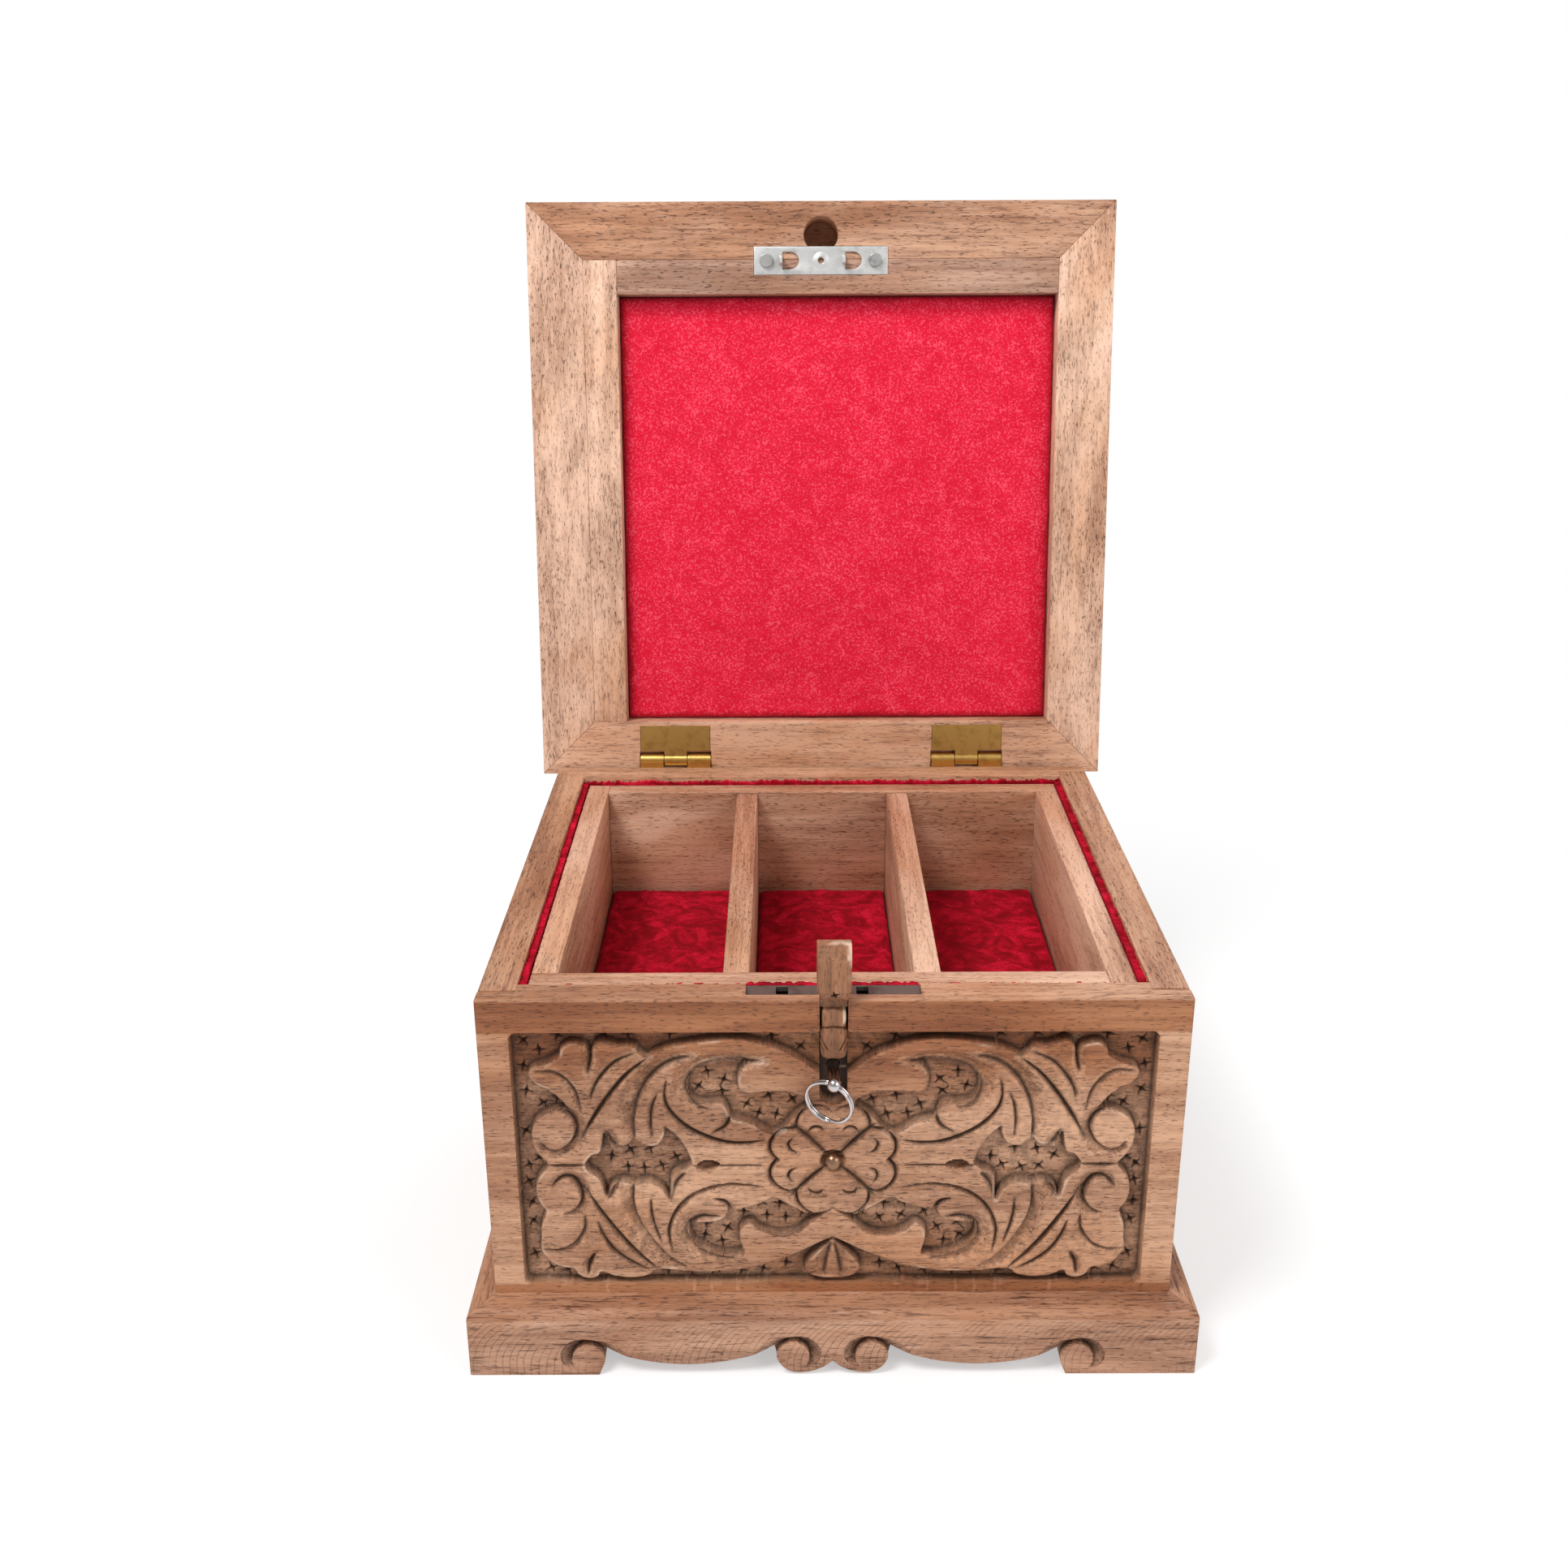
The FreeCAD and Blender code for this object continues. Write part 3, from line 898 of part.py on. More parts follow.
def make_lock():
    """A box lock let into the front wall: top plate, case, sliding bolt, cam, key and key ring."""
    plate_top = "(rim_height - lock_plate_drop)"
    plate_bottom = f"({plate_top} - lock_plate_thick)"
    case_front = "(body_front + lock_case_front)"
    case_back = "(body_front + lock_case_front + lock_case_depth)"
    case_bottom = f"({plate_bottom} - lock_case_height)"
    plate_front = "(body_front + lock_plate_front)"
    half_case = "(lock_case_width / 2)"
    plate = block("lock_plate_blank", ("-lock_width / 2", plate_front, plate_bottom),
                  ("lock_width / 2", f"{plate_front} + lock_plate_depth", plate_top))
    slots = [block(f"loop_slot_{side}",
                   (f"loop_{side} - loop_slot_width / 2", f"{LOCK_Y} - loop_slot_depth / 2",
                    f"{plate_bottom} - overcut"),
                   (f"loop_{side} + loop_slot_width / 2", f"{LOCK_Y} + loop_slot_depth / 2",
                    "rim_height + overcut"))
             for side in ("left", "right")]
    node("lock_top_plate", cut("lock_top_plate_shape", plate, *slots))

    case = block("lock_case_blank", (f"-{half_case}", case_front, case_bottom),
                 (half_case, case_back, plate_bottom))
    hollow = block("lock_case_hollow",
                   (f"-{half_case} + lock_sheet", f"{case_front} + lock_sheet",
                    f"{case_bottom} + lock_sheet"),
                   (f"{half_case} - lock_sheet", f"{case_back} - lock_sheet", "rim_height + overcut"))
    case_keyhole = rod("case_keyhole", (0, f"{case_front} - overcut", "key_height"),
                       "key_radius + key_clearance", "overcut + lock_sheet + 2 * cam_gap", "Y")
    case_keyway = block("case_keyway", ("-bit_width / 2 - key_clearance", f"{case_front} - overcut",
                                        "key_height - bit_length - key_clearance"),
                        ("bit_width / 2 + key_clearance", f"{case_front} + lock_sheet + cam_gap",
                         "key_height"))
    pivot_hole = rod("case_pivot_hole", (0, f"{case_back} - lock_sheet - cam_gap", "key_height"),
                     "key_radius + key_clearance", "lock_sheet + overcut", "Y")
    node("lock_case", cut("lock_case_shape", case, hollow, case_keyhole, case_keyway, pivot_hole))

    cam_front = f"({case_front} + lock_sheet + cam_gap)"
    cam_back = f"({cam_front} + cam_thick)"
    disc = rod("cam_disc", (0, cam_front, "key_height"), "cam_radius", "cam_thick", "Y")
    pin_side = "cam_pin_orbit * sqrt(0.5)"
    pin = rod("cam_pin", (f"-{pin_side}", cam_back, f"key_height + {pin_side}"), "cam_pin_radius",
              "bolt_thick + bolt_gap", "Y")
    boss = rod("cam_boss", (0, cam_back, "key_height"), "cam_boss_radius",
               f"{case_back} - {cam_back}", "Y")
    cam_hole = rod("cam_hole", (0, f"{cam_front} - overcut", "key_height"), "key_radius + key_clearance",
                   "cam_thick + overcut - cam_floor", "Y")
    cam_way = block("cam_way", ("-bit_width / 2 - key_clearance", f"{cam_front} - overcut",
                                "key_height - bit_length - key_clearance"),
                    ("bit_width / 2 + key_clearance", f"{cam_back} - cam_floor", "key_height"))
    node("lock_cam", fuse("lock_cam_shape", cut("cam_bored", disc, cam_hole, cam_way), pin, boss))

    bolt_front = f"({cam_back} + bolt_gap)"
    bolt_back = f"({bolt_front} + bolt_thick)"
    bar_top = "(rim_height + lid_gap - loop_reach - bolt_gap)"
    bar_bottom = f"({bar_top} - bolt_bar)"
    fork_x = f"(-{pin_side})"
    fork_gap = "(cam_pin_radius + cam_pin_slack)"
    bar = block("bolt_bar_block", ("bolt_left", bolt_front, bar_bottom), ("loop_right", bolt_back, bar_top))
    tail_low = "(key_height + cam_pin_orbit / 2)"
    tail = block("bolt_tail", (f"{fork_x} - bolt_fork_width / 2", bolt_front, tail_low),
                 (f"{fork_x} + bolt_fork_width / 2", bolt_back, bar_bottom))
    fork = block("bolt_fork", (f"{fork_x} - {fork_gap}", f"{bolt_front} - overcut", f"{tail_low} - overcut"),
                 (f"{fork_x} + {fork_gap}", f"{bolt_back} + overcut",
                  "key_height + cam_pin_orbit + cam_pin_radius + 2 * bolt_gap"))
    finger_z = "(rim_height - loop_axis)"
    arms = []
    for side in ("left", "right"):
        tip = f"(loop_{side} - loop_thick / 2 - bolt_reach)"
        root = f"(loop_{side} - loop_thick / 2 - bolt_travel - bolt_gap)"
        finger_front = f"({LOCK_Y} - bolt_thick / 2)"
        arms.append(block(f"bolt_finger_{side}", (root, finger_front, f"{finger_z} - bolt_finger / 2"),
                          (tip, f"{LOCK_Y} + bolt_thick / 2", f"{finger_z} + bolt_finger / 2")))
        arms.append(block(f"bolt_arm_{side}", (f"{root} - bolt_arm", finger_front, bar_bottom),
                          (root, bolt_back, f"{finger_z} + bolt_finger / 2")))
    node("lock_bolt", cut("lock_bolt_shape", fuse("bolt_blank", bar, tail, *arms), fork))

    shank_end = f"({cam_back} - cam_floor - cam_gap)"
    eye_y = "(body_front - key_eye_out)"
    shank = rod("key_shank", (0, eye_y, "key_height"), "key_radius", f"{shank_end} - {eye_y}", "Y")
    bit = block("key_bit", ("-bit_width / 2", f"{cam_front} + cam_gap", "key_height - bit_length"),
                ("bit_width / 2", shank_end, "key_height"))
    knob = ball("key_ball", (0, eye_y, "key_height"), "key_eye_radius")
    hang = Rotation(-size("ring_yaw_angle"), size("ring_dip_angle"), size("ring_lean_angle"))
    along = hang.multVec(Vector(1, 0, 0))
    pass_point = Vector(0, size(eye_y), size("key_height"))
    eye = doc.addObject("Part::Cylinder", "key_eye")
    bind(eye, Radius="key_eye_bore", Height="4 * key_eye_radius")
    eye.Placement = Placement(pass_point - along * size("2 * key_eye_radius"),
                              hang * Rotation(Vector(0, 1, 0), 90))
    node("key", cut("key_shape", fuse("key_blank", shank, bit, knob), eye))

    ring = doc.addObject("Part::Feature", "key_ring_shape")
    radius = size("ring_radius")
    centre = pass_point - hang.multVec(Vector(0, 0, radius))
    ring.Shape = Part.makeTorus(radius, size("ring_wire"), centre, hang.multVec(Vector(0, 1, 0)))
    node("key_ring", ring)


def make_nail():
    nail_y = "(body_front + relief_drop)"
    dome = ball("nail_ball", (0, nail_y, "rosette_height"), "nail_radius")
    keep = block("nail_keep",
                 ("-2 * nail_radius", f"{nail_y} - nail_dome", "rosette_height - 2 * nail_radius"),
                 ("2 * nail_radius", nail_y, "rosette_height + 2 * nail_radius"))
    head = doc.addObject("Part::Common", "nail_head")
    head.Base = dome
    head.Tool = keep
    shank = rod("nail_rod", (0, f"{nail_y} - nail_shank", "rosette_height"), "nail_shank",
                "nail_length", "Y")
    node("rosette_nail", fuse("rosette_nail_shape", head, shank))


make_walls()
make_plinth()
make_lining()
make_tray()
make_lid()
make_strike()
make_hinges()
make_cover()
make_lock()
make_nail()

doc.recompute()
failed = [thing.Name for thing in doc.Objects if {"Invalid", "Error"} & set(thing.State)]
if failed:
    raise RuntimeError("these objects failed: " + ", ".join(failed))
for label, thing in NODES.items():
    if thing.Shape.isNull() or not thing.Shape.isValid() or not thing.Shape.Solids:
        raise RuntimeError(label + " has no valid shape")

os.makedirs("parts", exist_ok=True)
for label, thing in NODES.items():
    thing.Shape.exportStep(f"parts/{label}.step")
    corners = thing.Shape.BoundBox
    print(f"{label:26s} solids {len(thing.Shape.Solids):2d} volume {thing.Shape.Volume:10.1f} "
          f"x {corners.XMin:7.2f} {corners.XMax:7.2f} y {corners.YMin:7.2f} {corners.YMax:7.2f} "
          f"z {corners.ZMin:7.2f} {corners.ZMax:7.2f}")
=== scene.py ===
# %% [markdown]
# # A carved jewellery chest, dressed step by step
#
# The chest is a small walnut box with a hinged lid, a moulded plinth, carved faces and a
# velvet lining. Its plain solids come in first as a frame that fixes every size. Each cell
# after that replaces a plain solid with a shape that has the real surface, or gives it a
# material. Nothing in the frame is moved.

# %% Load the frame
import math
from functools import partialmethod

import bmesh
import bpy
import numpy as np
from mathutils import Matrix, Vector


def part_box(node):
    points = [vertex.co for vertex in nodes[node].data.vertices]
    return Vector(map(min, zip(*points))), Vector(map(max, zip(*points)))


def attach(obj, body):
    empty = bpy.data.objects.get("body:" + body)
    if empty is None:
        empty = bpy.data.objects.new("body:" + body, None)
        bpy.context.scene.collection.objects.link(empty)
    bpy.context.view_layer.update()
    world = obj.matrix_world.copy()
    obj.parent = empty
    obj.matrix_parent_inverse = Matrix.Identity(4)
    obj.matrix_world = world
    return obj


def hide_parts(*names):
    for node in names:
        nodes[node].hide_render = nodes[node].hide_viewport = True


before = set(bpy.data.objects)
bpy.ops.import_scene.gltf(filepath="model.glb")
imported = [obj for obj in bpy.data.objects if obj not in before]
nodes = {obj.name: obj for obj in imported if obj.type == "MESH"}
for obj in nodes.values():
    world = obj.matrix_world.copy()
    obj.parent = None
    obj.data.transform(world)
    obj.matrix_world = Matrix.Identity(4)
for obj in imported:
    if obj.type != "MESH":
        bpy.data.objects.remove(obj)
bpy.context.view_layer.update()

# %% [markdown]
# ## Places that many pieces share
#
# Work is easier in millimetres, the unit that a maker would use, so one factor turns them
# into Blender's metres. The faces of the walls are read from the frame's own boxes. Reading
# them, and not typing them again, keeps each piece on its solid if a size changes.

# %% Shared sizes
MM = 0.001


def solid_box(name, kind=Vector):
    """The lowest and the highest corner of a solid of the frame, in millimetres."""
    return (kind(corner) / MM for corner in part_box(name))


wall_low, wall_high = solid_box("front_wall")
FRONT_Y, HALF_WIDTH, RIM, WALL_FOOT = wall_low.y, wall_high.x, wall_high.z, wall_low.z
WALL = wall_high.y - wall_low.y
BACK_Y = list(solid_box("back_wall"))[1].y
FIELD_SIDE, FIELD_TOP, FIELD_BOTTOM, FIELD_DEPTH = 8.0, 8.8, 23.8, 3.8
pin_low, pin_high = solid_box("hinge_left_pin")
HINGE = Vector((0, (pin_low.y + pin_high.y) / 2, (pin_low.z + pin_high.z) / 2))
print("front face", round(FRONT_Y, 2), "rim", round(RIM, 2), "hinge", [round(v, 2) for v in HINGE])

# %% [markdown]
# ## Node groups for the finishes
#
# Oiled walnut shows three things at once: broad bands of dark and light growth, fine lines
# along the board, and short open pores. All three come from noise that is stretched along the
# grain. One node group holds them, so that each wooden material only says which way its grain
# runs and what its two colours are. Painting an image would give more control, but noise keeps
# its detail at any distance.

# %% Helpers for nodes
class Tree:
    """A short way to add and join shader nodes. A value is a number, a colour or a socket."""

    def __init__(self, tree):
        self.tree = tree

    def add(self, kind, **values):
        node = self.tree.nodes.new("ShaderNode" + kind)
        for name, value in values.items():
            setattr(node, name, value)
        return node

    def join(self, value, socket):
        if hasattr(value, "is_output"):
            self.tree.links.new(value, socket)
        else:
            socket.default_value = value

    def fill(self, node, **values):
        """Fills the inputs with these names, where _ stands for a space, and returns the outputs."""
        for label, value in values.items():
            self.join(value, node.inputs[label.replace("_", " ")])
        return node.outputs

    def use(self, group, **values):
        return self.fill(self.add("Group", node_tree=group), **values)

    def math(self, operation, a, b=0.0, clamp=False):
        node = self.add("Math", operation=operation, use_clamp=clamp)
        self.join(a, node.inputs[0])
        self.join(b, node.inputs[1])
        return node.outputs[0]

    plus, minus = partialmethod(math, "ADD"), partialmethod(math, "SUBTRACT")
    times, larger = partialmethod(math, "MULTIPLY"), partialmethod(math, "MAXIMUM")

    def noise(self, vector, scale, detail=3.0, roughness=0.55, distortion=0.0):
        return self.fill(self.add("TexNoise"), Vector=vector, Scale=scale, Detail=detail,
                         Roughness=roughness, Distortion=distortion)["Fac"]

    def stretched_noise(self, vector, scale, detail, roughness=0.55, distortion=0.0):
        place = self.fill(self.add("Mapping"), Vector=vector, Scale=scale)["Vector"]
        return self.noise(place, 1.0, detail, roughness, distortion)

    def ramp(self, value, low, high):
        """0 below low, 1 above high, and a smooth step between."""
        node = self.add("MapRange", interpolation_type="SMOOTHSTEP")
        return self.fill(node, Value=value, From_Min=low, From_Max=high)["Result"]

    def mix(self, share, a, b, blend="MIX"):
        node = self.add("Mix", data_type="RGBA", blend_type=blend)
        return self.fill(node, Factor=share, A=a, B=b)["Result"]


def new_group(name, inputs, outputs):
    """A node group, its tree, and the sockets that it is given and gives out."""
    group = bpy.data.node_groups.new(name, "ShaderNodeTree")
    for label, value in inputs.items():
        kind = {1: "Float", 3: "Vector", 4: "Color"}[np.size(value)]
        socket = group.interface.new_socket(label, in_out="INPUT", socket_type="NodeSocket" + kind)
        socket.default_value = value
    for label in outputs:
        kind = "Color" if label == "Color" else "Float"
        group.interface.new_socket(label, in_out="OUTPUT", socket_type="NodeSocket" + kind)
    given = group.nodes.new("NodeGroupInput").outputs
    return group, Tree(group), given, group.nodes.new("NodeGroupOutput").inputs


print("node helpers ready")

# %% Wood group
WHITE, BLACK, ORIGIN = (1.0, 1.0, 1.0, 1.0), (0.0, 0.0, 0.0, 1.0), (0, 0, 0)
wood_group, tree, given, out = new_group(
    "sawn_wood", {"Vector": ORIGIN, "Early": WHITE, "Late": WHITE, "Pore": WHITE, "Openness": 0.5},
    ("Color", "Height", "Gloss"))
place, openness = given["Vector"], given["Openness"]
broad = tree.stretched_noise(place, (9, 60, 60), 3.0, 0.5, 0.9)
lines = tree.stretched_noise(place, (26, 640, 640), 4.0, 0.65, 0.3)
pores = tree.stretched_noise(place, (430, 2700, 2700), 1.0, 0.5)
streaks = tree.stretched_noise(place, (110, 1500, 1500), 2.0, 0.5)
patches = tree.stretched_noise(place, (16, 34, 34), 3.0, 0.55, 0.6)
late_share = tree.ramp(tree.plus(tree.times(broad, 0.6), tree.times(lines, 0.4)), 0.38, 0.66)
tint = tree.mix(late_share, given["Early"], given["Late"])
warm = tree.mix(1.0, tint, (0.82, 0.66, 0.52, 1.0), "MULTIPLY")
tint = tree.mix(tree.times(tree.ramp(patches, 0.42, 0.66), 0.7), tint, warm)
small = tree.minus(1.0, tree.ramp(pores, 0.32, 0.40))
large = tree.times(tree.minus(1.0, tree.ramp(streaks, 0.33, 0.43)), openness)
pore_share = tree.times(tree.larger(tree.times(small, 0.9), large),
                        tree.plus(0.5, tree.times(late_share, 0.5)), clamp=True)
# Pale flecks along the open grain are painted glints of light.
painted_glints = tree.times(tree.ramp(streaks, 0.62, 0.74), tree.times(openness, 0.4))
tint = tree.mix(painted_glints, tint, tree.mix(0.3, given["Early"], WHITE))
tree.join(tree.mix(pore_share, tint, given["Pore"]), out["Color"])
tree.join(tree.minus(tree.times(lines, 0.35), tree.times(pore_share, 0.9)), out["Height"])
tree.join(tree.plus(0.46, tree.times(lines, 0.22)), out["Gloss"])
print("group", wood_group.name, "nodes", len(wood_group.nodes))

# %% [markdown]
# Carving is coloured by hand work as well as by the grain: the ground is stained darker, and the
# relief beside each gouge line is darkened as painted shade. More painted shade fills the deep
# cuts, the punch marks and the foot of each wall, and a painted highlight, broken up by noise,
# runs along the ridges. A fourth share makes wood redder and darker, as oil turns it, on the bands
# beside the field, and it also darkens the upper part of the carving; it is kept as one minus the
# share in the colour's alpha. The carved meshes carry these shares, worked out from the carving
# itself, and this second group lays them over any wood colour. A mesh without them reads plain
# black and is left as it is.

# %% Group for stained wood, with painted shade and highlight
stain_and_light_group, tree, given, out = new_group(
    "stain_and_painted_light", {"Color": WHITE, "Stain": WHITE, "Rubbed": WHITE}, ("Color", "Matt"))
tone = tree.add("Attribute", attribute_name="tone")
channels = tree.add("SeparateColor")
tree.join(tone.outputs["Color"], channels.inputs[0])
# The three shares: stained ground (with painted shade beside the gouges), painted shade, and painted
# highlight.
ground, painted_shade, ridge_highlight = channels.outputs
where = tree.add("TexCoord").outputs["Object"]
cloud = tree.ramp(tree.noise(where, 520.0, 3.0, 0.7), 0.40, 0.60)
redder = tree.mix(1.0, given["Color"], (0.70, 0.52, 0.38, 1.0), "MULTIPLY")
tint = tree.mix(tree.minus(1.0, tone.outputs["Alpha"], clamp=True), given["Color"], redder)
tint = tree.mix(tree.times(ground, tree.times(cloud, 0.42), clamp=True), tint, given["Stain"])
# Painted shade darkens towards a brown close to black.
tint = tree.mix(tree.times(painted_shade, 0.93, clamp=True), tint, tree.mix(0.45, given["Stain"], BLACK))
# A painted highlight along the ridges, pale and in noisy patches.
highlight_patches = tree.times(tree.ramp(tree.noise(where, 130.0, 2.0), 0.48, 0.68), 0.5)
tree.join(tree.mix(tree.times(ridge_highlight, highlight_patches), tint, given["Rubbed"]), out["Color"])
tree.join(tree.times(ground, 0.12), out["Matt"])
print("group", stain_and_light_group.name, "nodes", len(stain_and_light_group.nodes))

# %% [markdown]
# The plinth's boards still show the saw that cut them: faint curved strokes about 2 mm apart,
# fading out below the moulding. They repeat along the board, so a fraction of the distance
# along it gives them, bent by a square of the height and broken up by noise.

# %% Group for saw marks
STROKE_GAP = 0.002
saw_group, tree, given, out = new_group(
    "saw_marks", {"Vector": ORIGIN, "Color": WHITE, "Height": 0.0}, ("Color", "Height"))
parts = tree.add("SeparateXYZ")
tree.join(given["Vector"], parts.inputs[0])
x, y, z = parts.outputs
rise = tree.larger(tree.minus(z, 0.003), 0.0)
along = tree.minus(tree.plus(x, y), tree.times(tree.times(rise, rise), 45.0))
patchy = tree.noise(given["Vector"], 60.0, 2.0)
phase = tree.plus(tree.math("DIVIDE", along, STROKE_GAP), tree.times(patchy, 1.5))
mark = tree.times(tree.ramp(tree.math("FRACT", phase), 0.72, 0.98), tree.ramp(patchy, 0.35, 0.6))
mark = tree.times(mark, tree.minus(1.0, tree.ramp(z, 0.0160, 0.0175)))
darker = tree.mix(1.0, given["Color"], (0.42, 0.34, 0.30, 1.0), "MULTIPLY")
tree.join(tree.mix(tree.times(mark, 0.6), given["Color"], darker), out["Color"])
tree.join(tree.minus(given["Height"], tree.times(mark, 0.5)), out["Height"])
print("group", saw_group.name, "nodes", len(saw_group.nodes))

# %% [markdown]
# Crushed velvet shines where its pile lies over and is deep where it stands up; this sheen is
# painted into the colour. Large soft noise says which way the pile lies, fine noise makes the
# tufts, and a painted highlight on the tufts' tips is a third colour. The crushed value says how
# strong the pattern is.

# %% Velvet group
pile_group, tree, given, out = new_group(
    "crushed_pile",
    {"Vector": ORIGIN, "Deep": WHITE, "Bright": WHITE, "Brushed": WHITE, "Crushed": 1.0},
    ("Color", "Height"))
place, crushed = given["Vector"], given["Crushed"]
crush = tree.noise(place, 95.0, 4.0, 0.62, 1.6)
tufts = tree.noise(place, 1500.0, 2.0, 0.6)
pile = tree.noise(place, 380.0, 3.0, 0.6, 0.8)
share = tree.ramp(tree.plus(tree.times(crush, 0.7), tree.times(pile, 0.3)), 0.38, 0.66)
share = tree.plus(0.5, tree.times(tree.minus(share, 0.5), crushed))
cloth = tree.mix(share, given["Deep"], given["Bright"])
even = tree.plus(tree.times(crush, crushed), tree.times(tree.minus(1.0, crushed), 0.62))
# A painted highlight on the tips of the tufts.
tip_highlight = tree.times(tree.ramp(tree.times(tufts, even), 0.27, 0.42), 0.55)
tree.join(tree.mix(tip_highlight, cloth, given["Brushed"]), out["Color"])
folds = tree.times(crush, tree.times(crushed, 0.6))
tree.join(tree.plus(tree.times(tufts, 0.55), folds), out["Height"])
print("group", pile_group.name, "nodes", len(pile_group.nodes))

# %% [markdown]
# ## Materials
#
# The walnut is one recipe with different grain directions, because each board of the chest is
# cut so that its grain runs along it. The rotation and the stretch sit in a Mapping node in
# front of the shared group. The tray's wood is raw, so it leaves the worked surface out. The
# red velvets share the pile group and differ in colour and crush only.

# %% Material makers
def colour(red, green, blue):
    """A paint-chart colour, 0 to 255, as the linear colour that shaders use."""
    shares = [channel / 255 for channel in (red, green, blue)]
    return tuple(c / 12.92 if c <= 0.04045 else ((c + 0.055) / 1.055) ** 2.4 for c in shares) + (1.0,)


def new_material(name):
    material = bpy.data.materials.new(name)
    material.use_nodes = True
    return material, Tree(material.node_tree), material.node_tree.nodes["Principled BSDF"]


def bumped(tree, height, strength, distance):
    return tree.fill(tree.add("Bump"), Height=height, Strength=strength, Distance=distance)["Normal"]


ALONG_X, ALONG_Y, ALONG_LID = (0, 0, 0), (0, 0, math.radians(90)), (0, math.radians(90), 0)
PORE, RAW_PORE = colour(78, 47, 32), colour(100, 66, 48)
# The first colour, for stained wood, also darkens the painted shade; the second is a painted highlight.
STAIN_AND_SHADE, PAINTED_HIGHLIGHT = colour(72, 54, 44), colour(236, 206, 180)


def wood_material(name, early, late, grain, shift, openness=0.4, sawn=False, raw=False):
    material, tree, shader = new_material(name)
    where = tree.add("TexCoord").outputs["Object"]
    turned = tree.fill(tree.add("Mapping"), Vector=where, Rotation=grain,
                       Location=(shift, shift * 0.7, shift * 1.3))["Vector"]
    wood = tree.use(wood_group, Vector=turned, Early=colour(*early), Late=colour(*late),
                    Pore=RAW_PORE if raw else PORE, Openness=openness)
    tint, rough, relief = wood["Color"], wood["Gloss"], wood["Height"]
    if sawn:
        saw = tree.use(saw_group, Vector=where, Color=tint, Height=relief)
        tint, relief = saw["Color"], saw["Height"]
    if not raw:
        worked = tree.use(stain_and_light_group, Color=tint, Stain=STAIN_AND_SHADE, Rubbed=PAINTED_HIGHLIGHT)
        tint, rough = worked["Color"], tree.plus(rough, worked["Matt"], clamp=True)
    tree.fill(shader, Base_Color=tint, Roughness=rough, Specular_IOR_Level=0.35,
              Normal=bumped(tree, relief, 0.6, 0.00022))
    return material


WALNUT = (204, 158, 126), (156, 110, 82)
LID_WALNUT = (212, 166, 136), (160, 116, 90)
FOOT_WALNUT = (192, 148, 120), (148, 106, 82)
RAW = (218, 176, 148), (172, 126, 98)
walnut_front = wood_material("walnut_front", *WALNUT, ALONG_X, 0.0)
walnut_side = wood_material("walnut_side", *WALNUT, ALONG_Y, 0.31)
walnut_lid = wood_material("walnut_lid", *LID_WALNUT, ALONG_X, 0.83, 0.55)
# The lid's side rails and side strip take a lighter copy of the lid's walnut: painted light, as if they
# caught more of the lamp.
lit_walnut_lid_side = wood_material("lit_walnut_lid_side", (230, 190, 164), (180, 140, 116), ALONG_LID, 0.57,
                                0.5)
walnut_strip = wood_material("walnut_strip", (194, 156, 134), (148, 110, 90), ALONG_X, 0.37)
walnut_plinth = wood_material("walnut_plinth", *FOOT_WALNUT, ALONG_X, 1.21, 1.0, sawn=True)
walnut_plinth_side = wood_material("walnut_plinth_side", *FOOT_WALNUT, ALONG_Y, 1.47, 1.0, sawn=True)
walnut_cover = wood_material("walnut_cover", (158, 108, 76), (106, 70, 48), ALONG_LID, 0.2)
tray_across = wood_material("tray_wood_across", *RAW, ALONG_X, 0.11, raw=True)
tray_deep = wood_material("tray_wood_deep", *RAW, ALONG_Y, 0.45, raw=True)
plywood = wood_material("tray_plywood", (206, 172, 140), (176, 140, 108), ALONG_X, 0.9, raw=True)
print("woods ready")

# %% Velvet
def velvet_material(name, deep, bright, tip_highlight, crushed=1.0):
    material, tree, shader = new_material(name)
    tips = colour(*tip_highlight)
    pile = tree.use(pile_group, Vector=tree.add("TexCoord").outputs["Object"], Deep=colour(*deep),
                    Bright=colour(*bright), Brushed=tips, Crushed=crushed)
    tree.fill(shader, Base_Color=pile["Color"], Normal=bumped(tree, pile["Height"], 0.9, 0.0006),
              Roughness=0.86, Specular_IOR_Level=0.15, Sheen_Weight=0.45, Sheen_Roughness=0.4,
              Sheen_Tint=tips)
    return material


velvet = velvet_material("velvet_lining", (128, 0, 16), (196, 6, 40), (226, 40, 74))
lid_velvet = velvet_material("velvet_lid", (196, 8, 36), (230, 30, 64), (250, 104, 128), 0.28)
print("velvets ready")

# %% [markdown]
# The fittings are old and handled. Each metal has a clean tint with cloudy spots of a duller
# one, and fine scratches that both roughen it and dent it a little.

# %% Metals
def metal_material(name, tint, spot_tint, rough, spots, metal=1.0):
    material, tree, shader = new_material(name)
    where = tree.add("TexCoord").outputs["Object"]
    scratches = tree.stretched_noise(where, (900, 60, 900), 3.0)
    share = tree.times(tree.ramp(tree.noise(where, 260.0, 4.0, 0.65), 0.46, 0.7), spots)
    tree.fill(shader, Base_Color=tree.mix(share, colour(*tint), colour(*spot_tint)), Metallic=metal,
              Roughness=tree.plus(tree.times(scratches, 0.2), rough - 0.1),
              Normal=bumped(tree, scratches, 0.3, 0.0001))
    return material


